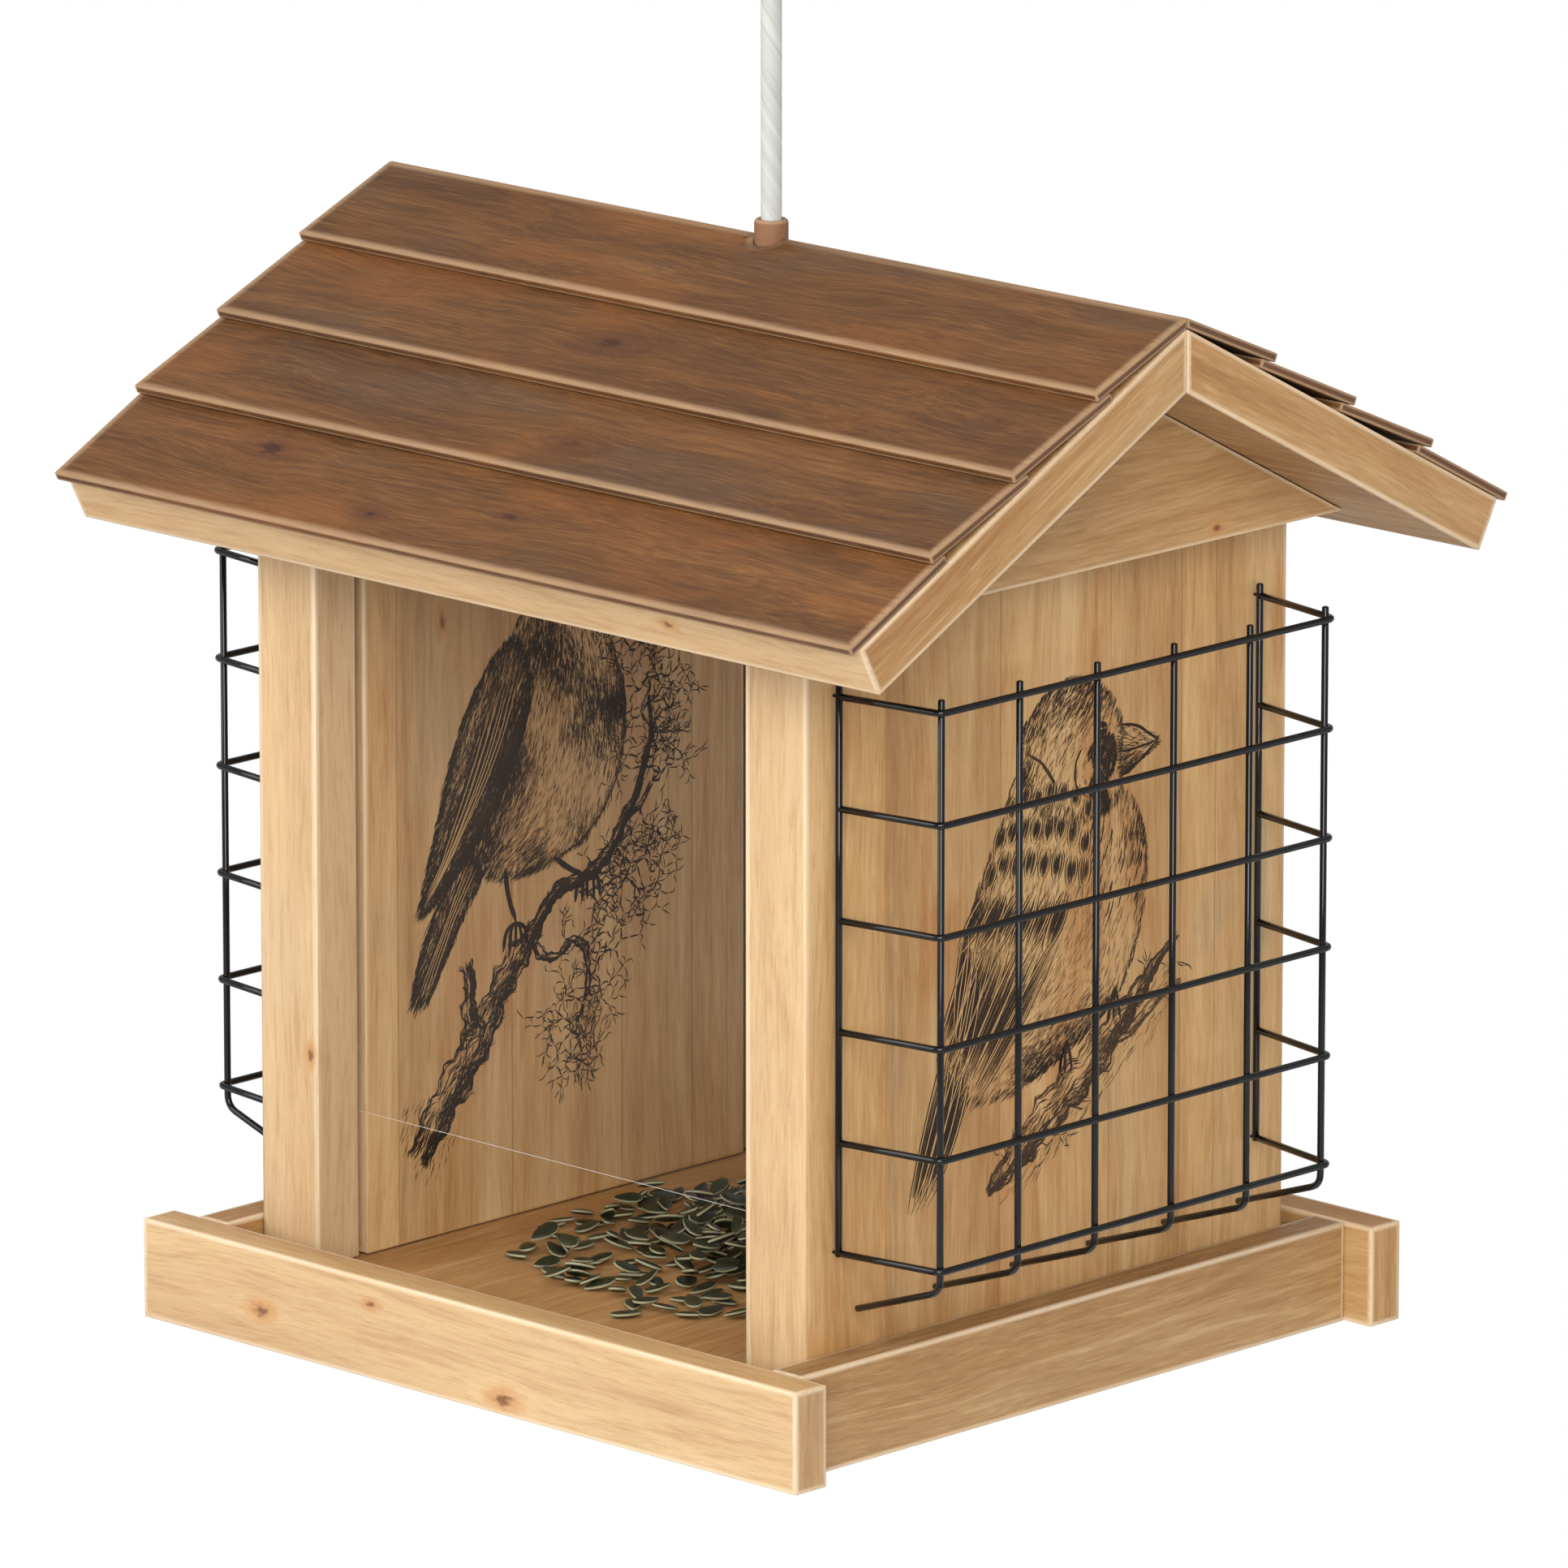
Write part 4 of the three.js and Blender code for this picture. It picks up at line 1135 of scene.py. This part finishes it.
def draw_left_bird():
    """A plump songbird on a forked branch with bare twigs, its head turned to the right."""
    d = Drawing(11)
    flow = [(4, 178, -0.4, -0.8), (-6, 168, -0.35, -1), (14, 166, 0.1, -1), (12, 145, 0.2, -1),
            (19, 128, 0.05, -1), (8, 112, -0.35, -1), (-10, 101, -0.9, -0.6), (-20, 112, -0.5, -1),
            (-14, 140, -0.3, -1), (-35, 108, -0.5, -1)]
    head = [(-9, 176), (-3, 183), (6, 185), (14, 181), (18, 174), (17.5, 167), (15, 160), (2, 158),
            (-10, 160), (-11, 167)]
    body = [*head[:7], (14.5, 152), (18, 143), (21.3, 133), (21, 121), (17, 110), (9, 101.5), (-2, 97),
            (-13, 95.5), (-23, 97.5), (-30, 103), (-32, 112), (-30, 124), (-25, 137), (-18, 149), (-13, 158),
            (-11, 167)]
    wing = [(-16, 153), (-10, 148), (-8.5, 139), (-12, 128), (-19, 116), (-28, 105), (-37, 97), (-45, 92.5),
            (-42.5, 103), (-38.5, 116), (-34, 130), (-27, 143)]
    tail = [(-32, 104), (-25, 99), (-30, 91), (-36, 82), (-42.5, 72), (-47.5, 73.5), (-44.5, 84), (-39, 95)]
    d.branch([(-47, 33, 3.6), (-40, 43, 4.4), (-33, 52, 4.8), (-26, 60, 4.4), (-21, 68, 3.4), (-15, 75, 3.6),
              (-10, 80, 2.4), (-5, 86, 1.5), (0, 90, 1.8), (7, 91, 1.5), (12, 93, 1.9), (17, 97, 1.3),
              (21, 103, 1.5), (25, 108, 0.9), (28, 116, 0.8), (30, 122, 0.5), (29, 131, 0.35)])
    d.branch([(-28, 60, 3.2), (-30, 66, 2.2), (-29.5, 72, 1.5), (-31, 78, 1.9)])
    d.branch([(-9, 79, 1.0), (-6, 75, 1.2), (-1, 74, 0.7), (4, 77, 0.9), (8, 73, 0.6), (9, 67, 0.7),
              (7.5, 61, 0.35)], burr=0.3)
    d.branch([(21, 103, 0.8), (26, 105, 0.6), (30, 110, 0.5)])
    d.hatch([(-52, 46), (-45, 28), (-34, 36), (-38, 48)], 1.4, [(-42, 40, -0.5, -1)], base=0.25, shade=0.9)
    for y, z, heading, reach in (
            (29, 131, 80, 8), (30, 122, 120, 7), (30, 122, 45, 8), (28, 116, 20, 7), (30, 110, 40, 8),
            (30, 110, -10, 8), (26, 105, -30, 8), (22, 101, -55, 8), (18, 96, -35, 7), (12, 90, -50, 7),
            (6, 88, -75, 5), (9, 67, -5, 8), (8, 72, 30, 7), (9, 64, -35, 8), (7.5, 61, -70, 8),
            (7, 60, -110, 8), (6, 76, 70, 5), (29, 127, 100, 8), (24, 92, -10, 7), (28, 134, 60, 8),
            (30, 146, 90, 8), (26, 144, 110, 7), (31, 156, 80, 7), (20, 88, -20, 7)):
        d.twig(y, z, heading, 0.75, reach)
    d.hatch(body, 6.0, flow, [
        (-20, 118, 9, 0.7), (-24, 104, 7, 0.7), (18, 131, 4.5, 0.9), (2, 143, 7, 0.5), (11, 134, 5, 0.55),
        (6, 127, 4, 0.4), (14, 123, 4, 0.45), (-6, 150, 7, 0.7), (-8, 99, 6, 0.45), (6, 103, 5, 0.25),
        (-16, 124, 7, 0.5)], 0.1, 0.45, 1.4, 2.6, 0.75)
    d.hatch(head, 6.0, flow, [(2, 180, 7, 0.8), (-6, 170, 7, 0.9), (-4, 161, 6, 0.8), (9, 173, 4, 0.4)],
            0.14, 0.5, 1.4, 2.2, 0.55)
    wing_flow = [(-14, 148, -0.45, -1), (-20, 130, -0.4, -1), (-32, 110, -0.6, -1), (-42, 96, -0.6, -1)]
    d.hatch(wing, 6.5, wing_flow, [(-30, 112, 8, 0.35), (-14, 134, 6, 0.5), (-38, 100, 6, 0.35)],
            0.34, 0.55, 1.6, 3.2, 0.5)
    for s in np.linspace(0, 1, 6):
        for y, look in ((0, (0.3, BARE, 0.25, 1)), (-1, (0.45, 0.0, 0.2, 2))):
            d.line([(y - 12 - 8 * s, 146 - 5 * s), (y - 20 - 8 * s, 126 - 3 * s),
                    (y - 34 - 4 * s, 105 - 2 * s), (y - 44 + s, 93 + 3 * s)], *look)
    d.hatch(tail, 6.0, [(-30, 100, -0.5, -1), (-42, 78, -0.55, -1)], (), 0.5, 0.5, 1.2, 3.6, 0.45)
    for i in range(4):
        root, tip = 101 - 0.5 * i, 73 - 0.2 * i
        d.line([(-31 + i, root), (-38 + 0.8 * i, 88), (-46.5 + i, tip)], 0.4, 0.0, 0.15)
        d.line([(-30.4 + i, root), (-37.4 + 0.8 * i, 88), (-46 + i, tip)], 0.25, BARE, 0.1, 1)
    d.line(body[7:15], 0.3, 0.25, 0.15)
    beak = [(17, 172.5), (22, 171.6), (26, 169.4), (22, 167.9), (17, 167.6)]
    d.hatch(beak, 12, [(20, 170, 1, -0.1)], (), 0.8, length=1.6, shade=0.3)
    d.line([(17.5, 169.8), (21, 169.8), (26, 169.3)], 0.5)
    d.eye(10, 174.5, (1.5, 1.1, 0.6))
    for leg in ([(-18, 98), (-17, 91), (-14.5, 84.5)], [(-2, 97.5), (3, 94), (8, 91.5)]):
        d.line(leg, 1.1, 0.0, 0.15, 4)
    for y, z in ((-14.5, 83), (9, 90.5)):
        d.foot(y, z, (-4.2, -2.2, -0.2, 1.8, 3.6), 0.85, 0.0, 0.15, ((0, 1.4), (0.75, -0.4), (1, -5)))
    return d


def draw_right_bird():
    """A bird seen from behind its shoulder on a sloping branch, looking to the right."""
    d = Drawing(23)
    head = [(-9, 146), (-9.5, 154), (-3, 161.5), (6, 165), (15, 163), (22, 157.5), (24.5, 151), (24, 143),
            (23.5, 135), (14, 131.5), (4, 132), (-4, 137)]
    body = [(-10, 146), (-15, 136), (-21, 126), (-26, 114), (-28.5, 102), (-31, 90), (-33, 80), (-26, 73.5),
            (-14, 72), (-2, 75), (12, 81), (23, 89), (29.5, 100), (32.5, 113), (32, 124), (29, 132),
            (24, 136.5), (12, 134), (0, 138)]
    flow = [(8, 160, -0.7, -0.8), (-6, 152, -0.5, -1), (16, 150, -0.5, -0.9), (20, 138, -0.1, -1),
            (28, 122, -0.15, -1), (26, 102, -0.4, -1), (10, 86, -0.9, -0.7), (-10, 80, -0.9, -0.6),
            (-20, 118, -0.35, -1), (-27, 95, -0.2, -1)]
    d.branch([(-20, 50, 1.0), (-13, 55, 3.0), (-4, 62, 4.4), (6, 69, 5.0), (15, 75, 4.6), (24, 83, 3.4),
              (31, 89, 2.2), (36, 94, 1.2), (43, 99, 0.5)], 2.6, 0.25)
    d.branch([(20, 78, 2.0), (28, 80, 1.4), (36, 85, 0.9), (44, 88, 0.4)], 2.0, 0.4)
    for y, z, heading in ((36, 93, 60), (30, 88, -30), (2, 62, -100), (-10, 56, -120)):
        d.twig(y, z, heading, 0.35, 4, 0.4)
    d.hatch([(-14, 48), (8, 58), (30, 74), (44, 84), (40, 94), (26, 82), (8, 68), (-8, 58)], 1.3,
            [(10, 62, -0.8, -0.75)], base=0.22, length=4.0, shade=0.95)
    d.hatch(body, 4.5, flow, [(-22, 118, 5, 0.35), (29, 126, 4, 0.5), (-2, 76, 7, 0.7), (10, 81, 6, 0.5),
                              (20, 87, 5, 0.4)], 0.1, 0.45, 1.3, 2.8, 0.85)
    d.hatch(head, 5.0, flow, [(5, 162, 6, 0.5), (15, 160, 6, 0.5), (-5, 156, 5, 0.4), (-7, 146, 3, 0.5)],
            0.15, 0.5, 1.2, 2.4, 0.8)
    cheek = [(13, 147), (17, 150), (21.5, 149), (22, 143), (19, 139), (20, 133.5), (16, 132.5), (13, 138),
             (15, 143)]
    d.hatch(cheek, 9.0, flow, (), 0.75, 0.3, 0.8, 1.8, 0.3)
    d.line([(11, 148), (8.5, 144), (9, 139), (12.5, 136)], 0.5, 0.05)
    d.line([(12.2, 147), (10, 143.5), (10.6, 139.4), (13.4, 137.2)], 0.9, BARE, 0.05)
    d.line([(-8, 150), (-2, 146), (2, 140), (1, 136)], 0.4, 0.2, 0.3, 3)
    for row, (y, z, length, width, many) in enumerate((
            (-11, 141, 5.5, 3.0, 7), (-15, 134, 6.5, 3.6, 8), (-18, 127, 7.5, 4.0, 8))):
        for s in np.linspace(0, 1, many):
            drop = 3 * math.sin(math.pi * s) - 5 * s + d.normal(0, 0.5)
            d.feather(y + (24 + 3 * row) * s, z + drop, -112 + 16 * s, length, width, 0, 0.62, 0.05)
    for s in np.linspace(0, 1, 6):
        d.feather(-20 + 26 * s, 119 - 4 * s, -125 + 8 * s, 15, 5.0, -8, 0.62)
    for s in np.linspace(0, 1, 6):
        d.feather(-25 + 27 * s, 107 - 3 * s, -112 - 16 * s, 26 + 20 * s, 5.0, -6 + 2 * s, 0.62)
    for s in np.linspace(0, 1, 4):
        d.feather(-27 + 4 * s, 112 - 12 * s, -97 - 6 * s, 22, 3.6, -4, 0.66)
    for s in np.linspace(0, 1, 4):
        d.feather(-33.5 + 7 * s, 84 - 3 * s, -103 - 5 * s, 36 - 3 * s, 5.2, -11, 0.7)
    for _ in range(40):
        y, z = d.uniform(14, 31), d.uniform(110, 131)
        d.line([(y, z), (y - 0.4, z - 1.8), (y - 1.2, z - 3.6)], 0.36, 0.15, 0.1, 1)
    beak = [(23, 151), (29, 149.3), (35.5, 145.2), (29, 141), (23, 138.8), (21.5, 145)]
    d.hatch(beak, 8.0, [(28, 148, 1, -0.5), (28, 142, 1, 0.4)], [(25, 141, 3, 0.5)], 0.18, 0.4, 0.8, 1.8, 0.6)
    for corners in ([(23, 151), (29, 149.5), (35.5, 145.2)], [(22.5, 144.5), (29, 144.6), (35.5, 145.2)],
                    [(35.5, 145.2), (29, 141.2), (23, 138.8)]):
        d.line(corners, 0.5)
    d.eye(17, 151, (1.7, 1.2, 0.7), 0.8)
    for y, z in ((22, 88), (6, 79)):
        d.foot(y, z, (-2.6, -0.6, 1.6), 0.8, 0.05, 0.12, ((0, 2), (0.6, -1.5), (1, -5.5)))
    return d


def build_engravings(ink):
    for side, drawing, wall_x in (
            ("left", draw_left_bird(), -WALL_INNER_X), ("right", draw_right_bird(), WALL_OUTER_X)):
        name = f"{side}_engraving"
        show(name, drawing.mesh(name, wall_x, 0.03), ink, host=f"{side}_wall")


# ---- the feeder, piece by piece

build_tray()
build_walls()
build_roof()

rail_wood = make_light_wood("rail_wood_look", [
    ("front_tray_rail", (-65.4, -99.6, 9.0), 1.5),
    ("front_tray_rail", (-29.6, -99.6, 17.5), 0.8),
    ("front_tray_rail", (12.8, -99.6, 3.6), 1.7),
], patchy=0.25)
roof_wood = make_light_wood("roof_wood_look", [
    ("front_roof_board", (66.7, -101.2, 191.5), 0.9),
    ("right_gable_board", (99.0, 41.6, 195.1), 0.9),
], patchy=0.35)
wall_wood = make_light_wood("wall_wood_look", [
    ("left_wall", (-70.5, -78.4, 64.3), 1.0),
    ("left_wall", (-68.1, -37.9, 159.7), 1.3),
], [(-100, 1.0), (-52.7, 0.86), (-16, 0.95), (20, 0.9), (43.4, 1.0), (55.0, 0.93)], patchy=0.75)
floor_wood = make_light_wood("floor_wood_look", painted_interior_warmth=0.5)
stained_wood = make_stained_wood("stained_wood_look", [
    ("front_plank_4", (-72, -87.7, 207.7), 2.6),
    ("front_plank_4", (-28.3, -99.7, 201.4), 1.1),
    ("front_plank_4", (8.5, -92.3, 205.2), 1.2),
    ("front_plank_3", (6.7, -70.5, 216.8), 2.0),
    ("front_plank_3", (84.9, -75.9, 213.9), 1.6),
    ("front_plank_2", (-10.6, -40.2, 232.8), 2.2),
    ("front_plank_2", (108.7, -39.9, 233.0), 1.4),
])
for board in BOARD_GRAINS:
    for part, wood in (("rail", rail_wood), ("floor", floor_wood), ("wall", wall_wood),
                       ("roof", roof_wood), ("gable", roof_wood), ("plank", stained_wood)):
        if part in board:
            bpy.data.objects[board + "_look"].data.materials.append(wood)

build_bushing(make_stained_wood("bushing_look", tint=(0.27, 0.14, 0.08), tinted=0.5))
build_bar(rail_wood)
build_windows(make_acrylic())
build_screws(make_zinc())
cut_screw_holes(bpy.data.objects["floor_board_look"])
wire = make_wire()
build_basket(1, "right_suet_basket", 0.0, 0.0, wire)
build_basket(-1, "left_suet_basket", 1.7, -0.4, wire)
build_rope(make_rope_fibre())
build_seeds(make_seed(), 640)
build_engravings(make_ink())

# ---- stage, light and camera

FLOOR_RADIUS, FLOOR_DROP, FLOOR_SIDES = 1.5, -1.6, 48
SKY = (  # height on the sky from straight down to straight up, and its brightness
    (-1.0, 0.3), (-0.5, 0.45), (-0.36, 1.0), (-0.12, 1.0), (0.02, 0.5), (0.5, 0.42), (1.0, 1.0),
)
LIGHT_SIZE = 1.8
LIGHTS = (  # name, azimuth, elevation, distance in metres, power in watts
    ("key", -32, 26, 2.6, 39.0),
    ("fill", 46, 22, 2.8, 80.0),
)
CAMERA_PLACE = (2.32174, -2.38849, 0.59541)
CAMERA_YAW, CAMERA_PITCH = math.radians(44.139), math.radians(13.815)
CAMERA_LENS = 345.7


def build_stage():
    rim = [(FLOOR_RADIUS * math.cos(a), FLOOR_RADIUS * math.sin(a), FLOOR_DROP) for a in circle(FLOOR_SIDES)]
    floor = link("studio_floor", from_lists("studio_floor", rim, [range(FLOOR_SIDES)]))
    floor.data.materials.append(Shader("studio_floor").finish((0.9, 0.9, 0.9), 0.9))

    bpy.context.scene.world = bpy.data.worlds.new("studio")
    sky = Shader("studio", bpy.context.scene.world)
    up = sky.coordinate(sky.place("Generated"), "Z")
    stops = [((z + 1) / 2, (strength,) * 3) for z, strength in SKY]
    colour = sky.ramp(sky.math("ADD", sky.times(up, 0.5), 0.5), stops)
    background = sky.add("Background", {"Color": colour})
    sky.add("OutputWorld", {"Surface": background.outputs[0]})

    for name, azimuth, elevation, distance, power in LIGHTS:
        light = bpy.data.lights.new(name, "AREA")
        light.shape, light.size, light.energy = "SQUARE", LIGHT_SIZE, power
        lamp = link(name, light)
        a, e = math.radians(azimuth), math.radians(elevation)
        back = Vector((math.sin(a) * math.cos(e), -math.cos(a) * math.cos(e), math.sin(e)))
        lamp.location = at(0, 0, 125) + back * distance
        lamp.rotation_euler = (-back).to_track_quat("-Z", "Y").to_euler()


def build_camera():
    camera = bpy.data.cameras.new("camera")
    camera.sensor_width = 36.0
    camera.lens = CAMERA_LENS
    camera.clip_start, camera.clip_end = 0.1, 200.0
    holder = link("camera", camera)
    holder.location = CAMERA_PLACE
    holder.rotation_euler = (math.pi / 2 - CAMERA_PITCH, 0.0, CAMERA_YAW)
    bpy.context.scene.camera = holder


build_stage()
build_camera()
bpy.context.scene.view_settings.view_transform = "Standard"
